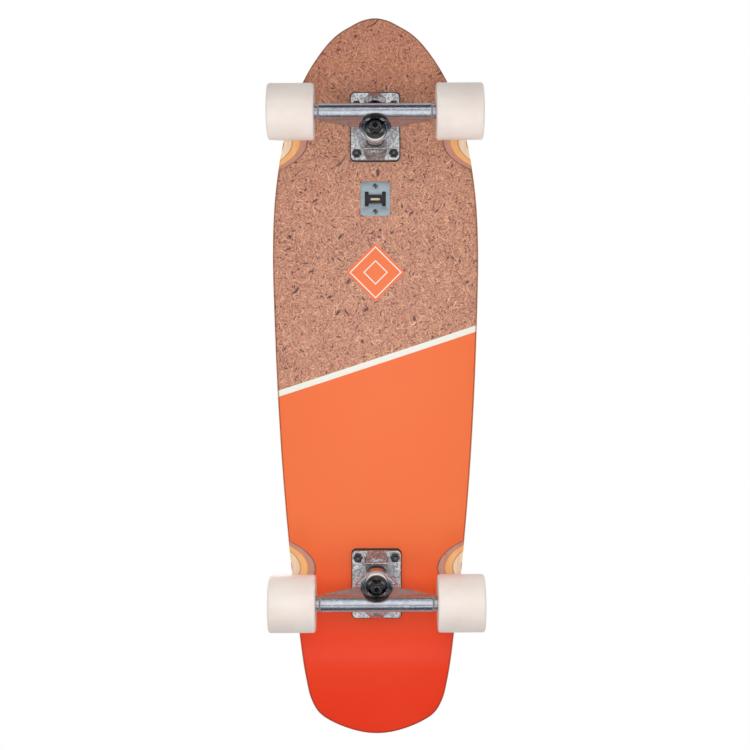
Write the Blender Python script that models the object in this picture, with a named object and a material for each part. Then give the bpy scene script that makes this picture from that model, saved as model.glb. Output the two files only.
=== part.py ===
"""A cruiser skateboard: a pressed deck on two cast trucks with four soft wheels.

The board stands on its wheels. +X points at the nose, +Z is up, z = 0 is the ground and x = 0 is the
middle of the deck's length. Each truck is modelled once in its own frame and used twice: its origin is
the centre of its four bolts on the baseplate's mounting face, its +X points at the nearer end of the
board, and what hangs below the deck has negative z.
"""

import math

import bmesh
import bpy
from mathutils import Matrix, Vector

MM = 0.001
FIT = 0.3 * MM              # gap between pieces that rest on or fit into each other
SPARE = 6.0 * MM            # how far a cutter runs past the material it cuts
OVERLAP = 1.0 * MM          # how far joined shapes run into each other
WELD = 0.005 * MM           # corners nearer to each other than this are one corner

# Deck
DECK_LENGTH = 812.8 * MM
DECK_WIDTH = 231.8 * MM
DECK_THICKNESS = 11.0 * MM
DECK_EDGE_ROUND = 3.0 * MM
DECK_EDGE_STEPS = 1
# share of the half length from the middle, share of the half width, from the nose to the tail
DECK_TEMPLATE = (
    (1.0, 0.0), (0.9966, 0.125), (0.9756, 0.252), (0.9547, 0.361), (0.920, 0.482), (0.8366, 0.676),
    (0.738, 0.817), (0.632, 0.910), (0.504, 0.976), (0.357, 1.0), (0.162, 0.986), (-0.059, 0.954),
    (-0.281, 0.905), (-0.502, 0.836), (-0.701, 0.754), (-0.832, 0.693), (-0.896, 0.644),
    (-0.9375, 0.566), (-0.967, 0.421), (-0.993, 0.1855), (-1.0, 0.0),
)
TEMPLATE_STEPS = 2          # straight edges between two points of the template
NOSE_LIFT = 6.0 * MM
NOSE_LIFT_LENGTH = 106.0 * MM
TAIL_LIFT = 26.0 * MM
KICK_LENGTH = 116.0 * MM
KICK_BLEND = 40.0 * MM
BEND_SCORES = (0.0, 0.33, 0.66, 1.0)      # share of the nose's and of the kick's bend
CONCAVE_RISE = 5.0 * MM
CONCAVE_SCORES = (0.0, 0.35, 0.68, 1.0)   # share of the way from the flat middle to the edge
FLAT_HALF_WIDTH = 30.0 * MM
GRIP_THICKNESS = 0.8 * MM
GRIP_INSET = 3.4 * MM

# Wheel wells, scooped out of the deck's underside at its edge
WELL_REACH = 28.0 * MM
WELL_HALF_LENGTH = 30.5 * MM
WELL_DEPTH = 4.6 * MM
WELL_BEHIND_AXLE = 27.0 * MM
WELL_SIDES = 76

# Bottle-opener plate, set into the deck's underside
OPENER_LENGTH = 38.4 * MM
OPENER_WIDTH = 33.2 * MM
OPENER_THICKNESS = 1.6 * MM
OPENER_CORNER = 4.2 * MM
OPENER_BEHIND_BOLTS = 50.0 * MM
MOUTH_WIDTH = 23.7 * MM
MOUTH_END_LENGTH = 16.6 * MM
MOUTH_END_WIDTH = 4.1 * MM
MOUTH_END_ROUND = 0.9 * MM
MOUTH_LENGTH = 8.4 * MM      # between the two lips' edges
LIP_LENGTH = 3.0 * MM
LIP_DIP = 1.5 * MM
POCKET_LENGTH = 20.6 * MM
POCKET_WIDTH = 27.6 * MM
POCKET_DEPTH = 7.4 * MM
POCKET_CORNER = 3.0 * MM
LINER_WALL = 0.8 * MM
LINER_SLOT_LENGTH = 2.6 * MM
LINER_SLOT_WIDTH = 10.6 * MM
OPENER_SCREW_SPACING = 28.6 * MM
OPENER_SCREW_RADIUS = 1.5 * MM
OPENER_SCREW_HEAD_RADIUS = 2.9 * MM
OPENER_SCREW_HEAD_DEPTH = 1.2 * MM
OPENER_SCREW_LENGTH = 8.0 * MM

# Bolt pattern and its bolts
WHEELBASE = 450.85 * MM     # between the two trucks' inner bolts
BOLTS_BEHIND_NOSE = 154.4 * MM
BOLT_SPACING_LONG = 54.0 * MM
BOLT_SPACING_WIDE = 41.3 * MM
BOLT_RADIUS = 2.4 * MM
BOLT_HEAD_RADIUS = 4.7 * MM
BOLT_HEAD_DEPTH = 2.4 * MM
BOLT_PAST_NUT = 1.6 * MM
BOLT_SIDES = 10
LOCK_NUT_FLATS = 9.5 * MM
LOCK_NUT_HEIGHT = 6.0 * MM
NUT_BORE_SIDES = 8

# Riser pad and baseplate
RISER_THICKNESS = 3.0 * MM
RISER_MARGIN = 1.4 * MM
RISER_SIDE_MARGIN = 0.9 * MM
PLATE_WIDTH = 54.3 * MM
PLATE_THICKNESS = 4.5 * MM
PLATE_INNER_END = 34.3 * MM
PLATE_OUTER_END = 41.0 * MM
PLATE_CORNER = 4.6 * MM
RAMP_HALF_WIDTH = 12.6 * MM
RAMP_END_HALF_WIDTH = 9.9 * MM
RAMP_END_HEIGHT = 0.2 * MM
RAMP_SETBACK = 0.9 * MM
RAMP_CHANNEL_DEPTH = 1.8 * MM
RAMP_CHANNEL_END_DEPTH = 0.4 * MM   # into the plate
RAMP_CHANNEL_HALF_WIDTH = 7.0 * MM
RAMP_CHANNEL_FLARE = 1.4 * MM
RAMP_CHANNEL_SETBACK = 0.6 * MM
PLATE_RIB_WIDTH = 2.6 * MM
PLATE_RIB_OVERLAP = 0.4 * MM        # into the pivot boss's wall
PLATE_RIB_HEIGHT = 2.2 * MM
PLATE_RIB_START = 0.7               # share of the kingpin boss's radius

# Kingpin and what is threaded on it, measured along its axis from the mounting face
KINGPIN_OFFSET = -13.9 * MM
KINGPIN_TILT = math.radians(15.3)
KINGPIN_RADIUS = 4.75 * MM
KINGPIN_HEAD_RADIUS = 7.4 * MM
KINGPIN_HEAD_HEIGHT = 4.8 * MM
KINGPIN_PAST_NUT = 0.6 * MM
KINGPIN_CHAMFER = 0.6 * MM
SOCKET_RADIUS = 3.3 * MM
SOCKET_DEPTH = 3.0 * MM
KINGPIN_SIDES = 14
BOSS_RADIUS = 12.9 * MM
BOSS_HEIGHT = 14.3 * MM
WASHER_THICKNESS = 1.2 * MM
BOARDSIDE_WASHER_RADIUS = 11.6 * MM
BOARDSIDE_BUSHING_RADIUS = 11.8 * MM
BOARDSIDE_BUSHING_HEIGHT = 11.5 * MM
BOARDSIDE_BUSHING_ROUND = 0.7 * MM
BOARDSIDE_BUSHING_ROUND_LENGTH = 2.5 * MM
ROADSIDE_BUSHING_RADIUS = 11.8 * MM
ROADSIDE_BUSHING_TOP_RADIUS = 9.4 * MM
ROADSIDE_BUSHING_HEIGHT = 9.0 * MM
CUP_WASHER_RADIUS = 11.9 * MM
CUP_WASHER_HEIGHT = 2.4 * MM
CUP_WASHER_WALL = 1.0 * MM
CUP_WASHER_EDGE = 0.4 * MM          # height of its outer edge on the nut's side
KINGPIN_NUT_FLATS = 14.3 * MM
KINGPIN_NUT_HEIGHT = 8.0 * MM
BUSHING_SIDES = 16

# Pivot
PIVOT_OFFSET = 31.0 * MM
PIVOT_DEPTH = 8.6 * MM
PIVOT_RADIUS = 4.8 * MM
PIVOT_CUP_WALL = 1.6 * MM
PIVOT_CUP_LENGTH = 4.2 * MM
PIVOT_BOSS_WALL = 2.0 * MM
PIVOT_BOSS_DRAFT = 2.4 * MM
PIVOT_BOSS_SIDE_DRAFT = 3.9 * MM
PIVOT_BOSS_SQUARE = 5.1 * MM  # length of its mouth that has no draft
PIVOT_BOSS_OVERHANG = 0.9 * MM
PIVOT_SIDES = 12

# Hanger
TRUCK_HEIGHT = 53.0 * MM    # from the mounting face to the axle's centre
AXLE_OFFSET = 14.2 * MM
TUBE_RADIUS = 9.2 * MM
HANGER_HALF_WIDTH = 61.2 * MM
HANGER_END_RADIUS = 8.4 * MM
HANGER_END_LENGTH = 6.3 * MM
TUBE_SIDES = 20
RING_RADIUS = 14.0 * MM
RING_WEB = 5.0 * MM
BOARD_SEAT_DEPTH = 0.9 * MM
ROAD_SEAT_DEPTH = 2.6 * MM
BOARD_SEAT_CLEARANCE = 1.0 * MM     # round the ring, for the cutter on its board side
BOARD_SEAT_CLEARANCE_HEIGHT = 2.5 * MM
RING_BORE_RADIUS = 8.0 * MM
RING_SIDES = 24
RECESS_GAP = 0.4 * MM               # round the ring's rim
RECESS_END_RADIUS = 17.2 * MM

# The web between tube and ring. A corner of its section is given outward and up from the axle's centre in
# tube radii, and the share it takes of the reach to the ring and of the climb to it.
WEB_CORNERS = (
    (-0.95, -0.30, 0.0, 0.0), (-1.08, 0.25, 1.0, 0.42), (-0.92, 0.70, 1.0, 0.55),
    (-0.40, 0.92, 0.7, 0.72), (0.55, 0.80, 0.0, 0.28), (0.96, 0.20, 0.0, 0.0),
)
WEB_MIDDLE_HALF_WIDTH = 23.3 * MM
RIB_HALF_WIDTH = 6.0 * MM
RIB_ON_ARM_AT = 11.0 * MM
RIB_ARM_DROP = 5.0 * MM
RIB_INTO_RING = 6.0 * MM
RIB_ABOVE_RING_CENTRE = 3.0 * MM

# The flat wings beside the ring, in the kingpin's frame: inboard from its axis, and out to the side
WING_TANGENT = math.radians(43)
WING_TURN = math.radians(108)
WING_OVERLAP = 0.5 * MM
WING_BOARD_FACE = 1.1 * MM          # past the board side of the ring's web
WING_ROAD_FACE = 0.2 * MM           # short of the ring's rim
WING_BOARD_SHOULDER = (-4.2 * MM, 23.6 * MM)
WING_ROAD_SHOULDER = (-1.6 * MM, 21.6 * MM)
WING_BACK = -12.0 * MM
NECK_INSET = 0.4 * MM
NECK_ROOT = 17.0 * MM

# The arm, by distance along the steering axis from the pivot's centre
ARM_NECK_LENGTH = 0.6 * MM
ARM_SHOULDER = 1.6 * MM
ARM_SHOULDER_LENGTH = 2.8 * MM
ARM_ROOT_RADIUS = 9.9 * MM
ARM_ROOT_BEFORE_RING = 12.0 * MM

# The scoop in the tube round the kingpin's nut: (wider than its waist by, above the axle's centre by)
NUT_SCOOP_STRETCH = 1.5
NUT_SCOOP_WALL = 0.75 * MM          # left between it and the axle's bore
NUT_SCOOP_STEPS = (
    (0.4 * MM, 3.6 * MM), (0.0, 1.6 * MM), (0.0, -1.0 * MM), (0.3 * MM, -2.6 * MM),
)
NUT_SCOOP_TOP = 12.0 * MM
NUT_SCOOP_MOUTH = 2.8 * MM

# Axle, bearings and wheels, with distances along the axle from its middle
AXLE_RADIUS = 3.95 * MM
AXLE_SIDES = 10
SPEED_WASHER_THICKNESS = 1.1 * MM
SPEED_WASHER_RADIUS = 6.3 * MM
BEARING_WIDTH = 7.0 * MM
BEARING_RADIUS = 11.0 * MM
BEARING_LAND = 1.4 * MM
BEARING_SHIELD_DEPTH = 0.5 * MM
BEARING_SPACING = 10.0 * MM
BEARING_SIDES = 12
SPACER_RADIUS = 5.6 * MM
AXLE_NUT_FLATS = 12.7 * MM
AXLE_NUT_HEIGHT = 6.2 * MM
AXLE_PAST_NUT = 4.0 * MM
AXLE_CHAMFER = 0.8 * MM
WHEEL_RADIUS = 31.0 * MM
WHEEL_WIDTH = 51.0 * MM
WHEEL_LIP = 2.9 * MM
WHEEL_INNER_OVERHANG = 3.3 * MM   # from the inner bearing's face to the wheel's inner face
WHEEL_SHOULDER_RADIUS = 8.6 * MM
WHEEL_RECESS_RADIUS = 18.5 * MM
WHEEL_SEAT_LIP = 0.8 * MM           # how far its seat stands past the outer bearing
WHEEL_INNER_FLARE = 0.6 * MM
WHEEL_LIP_BULGE = 0.3               # share of the lip
WHEEL_SIDES = 24

# Places worked out from the sizes above
MOUNT_DROP = RISER_THICKNESS + 2 * FIT
DECK_BOTTOM = WHEEL_RADIUS + TRUCK_HEIGHT + MOUNT_DROP
NOSE_X = DECK_LENGTH / 2
FRONT_TRUCK_X = NOSE_X - BOLTS_BEHIND_NOSE + BOLT_SPACING_LONG / 2
REAR_TRUCK_X = NOSE_X - BOLTS_BEHIND_NOSE - WHEELBASE - BOLT_SPACING_LONG / 2
OPENER_X = NOSE_X - BOLTS_BEHIND_NOSE - OPENER_BEHIND_BOLTS

KINGPIN_BASE = Vector((KINGPIN_OFFSET, 0.0, 0.0))
KINGPIN_DOWN = Vector((math.sin(KINGPIN_TILT), 0.0, -math.cos(KINGPIN_TILT)))
BOARDSIDE_WASHER_AT = BOSS_HEIGHT + FIT
BOARDSIDE_BUSHING_AT = BOARDSIDE_WASHER_AT + WASHER_THICKNESS + FIT
RING_WEB_AT = BOARDSIDE_BUSHING_AT + BOARDSIDE_BUSHING_HEIGHT + FIT
ROADSIDE_BUSHING_AT = RING_WEB_AT + RING_WEB + FIT
CUP_WASHER_AT = ROADSIDE_BUSHING_AT + ROADSIDE_BUSHING_HEIGHT + FIT
KINGPIN_NUT_AT = CUP_WASHER_AT + CUP_WASHER_WALL + FIT
KINGPIN_END = KINGPIN_NUT_AT + KINGPIN_NUT_HEIGHT + KINGPIN_PAST_NUT

RING_CENTRE = KINGPIN_BASE + KINGPIN_DOWN * (RING_WEB_AT + RING_WEB / 2)
PIVOT = Vector((PIVOT_OFFSET, 0.0, -PIVOT_DEPTH))
STEER_AXIS = (RING_CENTRE - PIVOT).normalized()
AXLE = Vector((AXLE_OFFSET, 0.0, -TRUCK_HEIGHT))

INNER_BEARING_AT = HANGER_HALF_WIDTH + HANGER_END_LENGTH + SPEED_WASHER_THICKNESS + 2 * FIT
OUTER_BEARING_AT = INNER_BEARING_AT + BEARING_WIDTH + BEARING_SPACING
AXLE_NUT_AT = OUTER_BEARING_AT + BEARING_WIDTH + 2 * FIT
AXLE_HALF_LENGTH = AXLE_NUT_AT + AXLE_NUT_HEIGHT + AXLE_PAST_NUT
WHEEL_INNER_FACE = INNER_BEARING_AT - WHEEL_INNER_OVERHANG


# Materials

def material(name, colour, roughness, metallic=0.0):
    made = bpy.data.materials.new(name)
    made.use_nodes = True
    shader = made.node_tree.nodes["Principled BSDF"]
    shader.inputs["Base Color"].default_value = (*colour, 1.0)
    shader.inputs["Roughness"].default_value = roughness
    shader.inputs["Metallic"].default_value = metallic
    return made


def all_materials():
    return {
        "wood": material("printed_maple", (0.80, 0.16, 0.05), 0.3),
        "grit": material("black_grip", (0.015, 0.015, 0.016), 0.95),
        "cast": material("polished_casting", (0.70, 0.72, 0.75), 0.22, 1.0),
        "steel": material("plated_steel", (0.56, 0.60, 0.64), 0.35, 1.0),
        "black_steel": material("blackened_steel", (0.02, 0.02, 0.022), 0.4, 0.6),
        "black_plastic": material("black_plastic", (0.012, 0.012, 0.012), 0.5),
        "bushing": material("black_urethane", (0.014, 0.014, 0.015), 0.45),
        "wheel": material("cream_urethane", (0.87, 0.80, 0.73), 0.35),
    }


# Shapes, each a bmesh in the frame of the piece it belongs to

def axis_frame(origin, direction):
    """Gives a matrix at origin whose Z axis points along direction."""
    along = Vector(direction).normalized()
    if abs(along.y) > 0.9:
        across = Vector((1.0, 0.0, 0.0))
        third = along.cross(across)
    else:
        third = Vector((0.0, 1.0, 0.0))
        across = third.cross(along)
    turn = Matrix((across, third, along)).transposed()
    return Matrix.Translation(origin) @ turn.to_4x4()


def closed_rings(rings, loops_back):
    """Skins a list of rings of points; a ring of one point is a pole."""
    shape = bmesh.new()
    corners = [[shape.verts.new(point) for point in ring] for ring in rings]
    pairs = list(zip(corners, corners[1:]))
    if loops_back:
        pairs.append((corners[-1], corners[0]))
    for first, second in pairs:
        count = max(len(first), len(second))
        for index in range(count):
            after = (index + 1) % count
            face = [first[index % len(first)], first[after % len(first)],
                    second[after % len(second)], second[index % len(second)]]
            shape.faces.new(list(dict.fromkeys(face)))
    if not loops_back:
        for ring in (corners[0], corners[-1]):
            if len(ring) > 2:
                shape.faces.new(ring)
    bmesh.ops.recalc_face_normals(shape, faces=shape.faces)
    return shape


def turned(profile, sides, around_outside=False):
    """Turns (radius, height) points about Z. A profile that touches the axis is closed by it.

    With around_outside the flats, and not the corners, lie at the given radii.
    """
    growth = 1.0 / math.cos(math.pi / sides) if around_outside else 1.0
    rings = []
    for radius, height in profile:
        if radius == 0.0:
            rings.append([Vector((0.0, 0.0, height))])
            continue
        angles = [math.tau * (step + 0.5) / sides for step in range(sides)]
        rings.append([Vector((radius * growth * math.cos(angle), radius * growth * math.sin(angle), height))
                      for angle in angles])
    hollow = all(radius > 0.0 for radius, _ in profile)
    return closed_rings(rings, hollow)


def rod(radius, low, high, sides, around_outside=False):
    return turned([(0.0, low), (radius, low), (radius, high), (0.0, high)], sides, around_outside)


def lofted(sections):
    return closed_rings(sections, False)


def prism(outline, low, high):
    """Stands an (x, y) outline up between two heights."""
    return lofted([[Vector((x, y, height)) for x, y in outline] for height in (low, high)])


def side_prism(outline, low, high):
    """Draws an (x, z) outline out along Y."""
    return lofted([[Vector((x, y, z)) for x, z in outline] for y in (low, high)])


def rounded_rectangle(x_low, x_high, y_half, radius, steps=3):
    corners = ((x_high, y_half, 0), (x_low, y_half, 1), (x_low, -y_half, 2), (x_high, -y_half, 3))
    outline = []
    for corner_x, corner_y, quarter in corners:
        centre_x = corner_x - math.copysign(radius, corner_x - (x_low + x_high) / 2)
        centre_y = corner_y - math.copysign(radius, corner_y)
        for step in range(steps + 1):
            angle = math.pi / 2 * (quarter + step / steps)
            outline.append((centre_x + radius * math.cos(angle), centre_y + radius * math.sin(angle)))
    return outline


def moved(shape, matrix):
    bmesh.ops.transform(shape, matrix=matrix, verts=shape.verts)
    return shape


def mesh_of(shape, name):
    mesh = bpy.data.meshes.new(name)
    shape.to_mesh(mesh)
    shape.free()
    return mesh


def combined(name, base, added=(), removed=()):
    """Joins shapes to the base, then cuts others out of it, and gives the mesh."""
    body = solid_object(name, base)
    spent = [body]
    for operation, shapes in (("UNION", added), ("DIFFERENCE", removed)):
        if not shapes:
            continue
        tools = bpy.data.collections.new(name + "_tools")
        bpy.context.scene.collection.children.link(tools)
        for shape in shapes:
            tool = solid_object(name + "_tool", shape, tools)
            tool.hide_render = True
            tool.display_type = "WIRE"
            spent.append(tool)
        cut = body.modifiers.new(operation.lower(), "BOOLEAN")
        cut.operation = operation
        cut.operand_type = "COLLECTION"
        cut.collection = tools
        body.modifiers.new("flat_faces", "TRIANGULATE")
        body.modifiers.new("close_points", "WELD").merge_threshold = WELD
    tidy = body.modifiers.new("join_flat_faces", "DECIMATE")
    tidy.decimate_type = "DISSOLVE"
    tidy.angle_limit = math.radians(0.06)
    bpy.context.view_layer.update()
    finished = body.evaluated_get(bpy.context.evaluated_depsgraph_get())
    mesh = bpy.data.meshes.new_from_object(finished)
    mesh.name = name
    for used in spent:
        bpy.data.objects.remove(used)
    return mesh


def solid_object(name, shape, collection=None):
    """An object whose faces are all triangles, and so truly flat, for a Boolean to work on."""
    bmesh.ops.triangulate(shape, faces=shape.faces)
    made = bpy.data.objects.new(name, mesh_of(shape, name))
    (collection or bpy.context.scene.collection).objects.link(made)
    return made


def place(name, mesh, surface, parent=None, matrix=None):
    """Makes the object of one piece, with its mesh in the piece's own frame."""
    mesh.materials.clear()
    mesh.materials.append(surface)
    mesh.shade_smooth()
    mesh.set_sharp_from_angle(angle=math.radians(34))
    piece = bpy.data.objects.new(name, mesh)
    piece.parent = parent
    piece.matrix_basis = matrix or Matrix.Identity(4)
    bpy.context.collection.objects.link(piece)
    return piece


# Deck and what is fixed in it

def deck_outline(inset=0.0):
    """Runs a smooth closed curve through the template's points and gives it drawn in by inset."""
    right = [Vector((along * DECK_LENGTH / 2, across * DECK_WIDTH / 2)) for along, across in DECK_TEMPLATE]
    knots = right + [Vector((point.x, -point.y)) for point in reversed(right[1:-1])]
    count = len(knots)
    curve = []
    for index in range(count):
        near = [knots[(index + shift) % count] for shift in (-1, 0, 1, 2)]
        for step in range(TEMPLATE_STEPS):
            curve.append(on_smooth_curve(near, step / TEMPLATE_STEPS))
    outline = []
    for index, point in enumerate(curve):
        direction = curve[(index + 1) % len(curve)] - curve[index - 1]
        inward = Vector((direction.y, -direction.x)).normalized()
        if inward.dot(point) > 0.0:
            inward = -inward
        outline.append(tuple(point + inward * inset))
    return outline


def on_smooth_curve(near, share):
    """Gives the point at a share of the way from near[1] to near[2], on a centripetal spline."""
    times = [0.0]
    for first, second in zip(near, near[1:]):
        times.append(times[-1] + math.sqrt((second - first).length))
    now = times[1] + (times[2] - times[1]) * share
    before = blend(near[0], near[1], now, times[0], times[1])
    between = blend(near[1], near[2], now, times[1], times[2])
    after = blend(near[2], near[3], now, times[2], times[3])
    earlier_arc = blend(before, between, now, times[0], times[2])
    later_arc = blend(between, after, now, times[1], times[3])
    return blend(earlier_arc, later_arc, now, times[1], times[2])


def blend(first, second, now, start, end):
    share = (now - start) / (end - start)
    return first * (1.0 - share) + second * share


def half_width_at(x):
    """Gives the deck's half width at x, between the outline's points."""
    side = sorted(point for point in deck_outline() if point[1] >= 0.0)
    for first, second in zip(side, side[1:]):
        if first[0] <= x <= second[0]:
            share = (x - first[0]) / max(second[0] - first[0], 1e-9)
            return first[1] + (second[1] - first[1]) * share
    return 0.0


def end_lift(x):
    """How far the press lifts the deck along its middle: the nose and the kick tail."""
    past_nose_line = x - (NOSE_X - NOSE_LIFT_LENGTH)
    if past_nose_line > 0.0:
        return NOSE_LIFT * (past_nose_line / NOSE_LIFT_LENGTH) ** 2
    past_kick_line = (KICK_LENGTH - NOSE_X) - x
    if past_kick_line <= 0.0:
        return 0.0
    slope = TAIL_LIFT / (KICK_LENGTH - KICK_BLEND / 2)
    if past_kick_line < KICK_BLEND:
        return slope * past_kick_line ** 2 / (2 * KICK_BLEND)
    return slope * (past_kick_line - KICK_BLEND / 2)


def side_lift(y):
    """How far the concave lifts the deck at its sides."""
    past_flat = max(abs(y) - FLAT_HALF_WIDTH, 0.0)
    return CONCAVE_RISE * (past_flat / (DECK_WIDTH / 2 - FLAT_HALF_WIDTH)) ** 2


def lengthwise_scores():
    """Where the sheet bends along its length, from the tail to the nose, with both ends."""
    kick_line = KICK_LENGTH - NOSE_X
    scores = [NOSE_X - NOSE_LIFT_LENGTH * (1.0 - share) for share in BEND_SCORES]
    scores += [kick_line - KICK_BLEND * share for share in BEND_SCORES]
    return sorted(scores + [-NOSE_X])


def sideways_scores():
    strip = DECK_WIDTH / 2 - FLAT_HALF_WIDTH
    return sorted(side * (FLAT_HALF_WIDTH + strip * share) for side in (-1, 1) for share in CONCAVE_SCORES)


def on_flats(scores, lift, at):
    """Follows a curve by flats between the scores; the end ones run on past the last scores."""
    index = min(max(sum(line < at for line in scores) - 1, 0), len(scores) - 2)
    first, second = scores[index], scores[index + 1]
    share = (at - first) / (second - first)
    return lift(first) * (1.0 - share) + lift(second) * share


def rise(x, y):
    """How far the press lifts the deck above its flat middle. Every field between scores stays flat."""
    return on_flats(lengthwise_scores(), end_lift, x) + on_flats(sideways_scores(), side_lift, y)


def pressed_sheet(inset, low, high, edge_round, edge_steps):
    """Cuts a flat sheet to the outline, scores it where the press bends it, and presses it."""
    sheet = prism(deck_outline(inset), low, high)
    if edge_round > 0.0:
        rims = [edge for edge in sheet.edges
                if abs(edge.verts[0].co.z - edge.verts[1].co.z) < 1e-6]
        bmesh.ops.bevel(sheet, geom=rims, offset=edge_round, segments=edge_steps,
                        profile=0.5, affect="EDGES")
    for x in lengthwise_scores()[1:-1]:
        score(sheet, Vector((x, 0.0, 0.0)), Vector((1.0, 0.0, 0.0)))
    for y in sideways_scores()[1:-1]:
        score(sheet, Vector((0.0, y, 0.0)), Vector((0.0, 1.0, 0.0)))
    for corner in sheet.verts:
        corner.co.z += rise(corner.co.x, corner.co.y)
    bmesh.ops.triangulate(sheet, faces=sheet.faces)
    return moved(sheet, Matrix.Translation((0.0, 0.0, DECK_BOTTOM)))


def score(sheet, point, normal):
    everything = list(sheet.verts) + list(sheet.edges) + list(sheet.faces)
    bmesh.ops.bisect_plane(sheet, geom=everything, dist=1e-6, plane_co=point, plane_no=normal)


def well_cutter(axle_x, inboard, side):
    """A drum laid against the deck's edge so that it cuts nothing at the well's inner end."""
    x = axle_x + inboard * WELL_BEHIND_AXLE
    edge = half_width_at(x)
    inner = Vector((x, side * (edge - WELL_REACH), DECK_BOTTOM + rise(x, edge - WELL_REACH)))
    outer = Vector((x, side * edge, DECK_BOTTOM + rise(x, edge) + WELL_DEPTH))
    drum_radius = (WELL_HALF_LENGTH ** 2 + WELL_DEPTH ** 2) / (2 * WELL_DEPTH)
    along = (outer - inner).normalized()
    below = Vector((0.0, along.z, -along.y)) * side
    centre = inner + below * drum_radius
    drum = rod(drum_radius, -WELL_REACH, WELL_REACH * 2.5, WELL_SIDES)
    return moved(drum, axis_frame(centre, along))


def bolt_places():
    return [Vector((long_side * BOLT_SPACING_LONG / 2, wide_side * BOLT_SPACING_WIDE / 2, 0.0))
            for long_side in (-1, 1) for wide_side in (-1, 1)]


def deck_hole(centre):
    top = DECK_THICKNESS
    profile = [(0.0, -SPARE), (BOLT_RADIUS + FIT, -SPARE), (BOLT_RADIUS + FIT, top - BOLT_HEAD_DEPTH - FIT),
               (BOLT_HEAD_RADIUS + FIT, top - FIT), (BOLT_HEAD_RADIUS + FIT, top + SPARE), (0.0, top + SPARE)]
    hole = turned(profile, BOLT_SIDES, around_outside=True)
    return moved(hole, Matrix.Translation(centre))


def all_bolt_centres():
    centres = []
    for truck_x in (FRONT_TRUCK_X, REAR_TRUCK_X):
        centres += [Vector((truck_x, 0.0, DECK_BOTTOM)) + place_on_truck for place_on_truck in bolt_places()]
    return centres


def screw_places():
    return [("front", OPENER_X + OPENER_SCREW_SPACING / 2), ("rear", OPENER_X - OPENER_SCREW_SPACING / 2)]


def make_deck(surface):
    cutters = [deck_hole(centre) for centre in all_bolt_centres()]
    for axle_x, inboard in ((FRONT_TRUCK_X + AXLE_OFFSET, -1), (REAR_TRUCK_X - AXLE_OFFSET, 1)):
        cutters += [well_cutter(axle_x, inboard, side) for side in (-1, 1)]
    seat = rounded_rectangle(-OPENER_LENGTH / 2 - FIT, OPENER_LENGTH / 2 + FIT,
                             OPENER_WIDTH / 2 + FIT, OPENER_CORNER + FIT)
    pocket = rounded_rectangle(-POCKET_LENGTH / 2, POCKET_LENGTH / 2, POCKET_WIDTH / 2, POCKET_CORNER)
    at_opener = Matrix.Translation((OPENER_X, 0.0, DECK_BOTTOM))
    cutters.append(moved(prism(seat, -SPARE, OPENER_THICKNESS + FIT), at_opener))
    cutters.append(moved(prism(pocket, -SPARE, POCKET_DEPTH), at_opener))
    for _, screw_x in screw_places():
        hole = rod(OPENER_SCREW_RADIUS + FIT, -SPARE, OPENER_SCREW_LENGTH + FIT, 8, around_outside=True)
        cutters.append(moved(hole, Matrix.Translation((screw_x, 0.0, DECK_BOTTOM))))
    blank = pressed_sheet(0.0, 0.0, DECK_THICKNESS, DECK_EDGE_ROUND, DECK_EDGE_STEPS)
    place("deck", combined("deck", blank, removed=cutters), surface)


def make_grip_tape(surface):
    low = DECK_THICKNESS + FIT
    tape = pressed_sheet(GRIP_INSET, low, low + GRIP_THICKNESS, 0.0, 0)
    holes = [moved(rod(BOLT_HEAD_RADIUS + 2 * FIT, 0.0, low + SPARE, BOLT_SIDES, around_outside=True),
                   Matrix.Translation(centre)) for centre in all_bolt_centres()]
    place("grip_tape", combined("grip_tape", tape, removed=holes), surface)


def opener_mouth():
    """The mouth before its lips are put in: a band that ends in a longer rounded bar at each side."""
    half_band = MOUTH_LENGTH / 2 + LIP_LENGTH
    half_end = MOUTH_END_LENGTH / 2
    outer = MOUTH_WIDTH / 2
    inner = outer - MOUTH_END_WIDTH
    quarter = [(half_band, inner - FIT), (half_end - MOUTH_END_ROUND, inner),
               (half_end, inner + MOUTH_END_ROUND), (half_end, outer - 2 * MOUTH_END_ROUND),
               (half_end - 2 * MOUTH_END_ROUND, outer)]
    right = quarter + [(-x, y) for x, y in reversed(quarter)]
    return right + [(-x, -y) for x, y in right]


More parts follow.
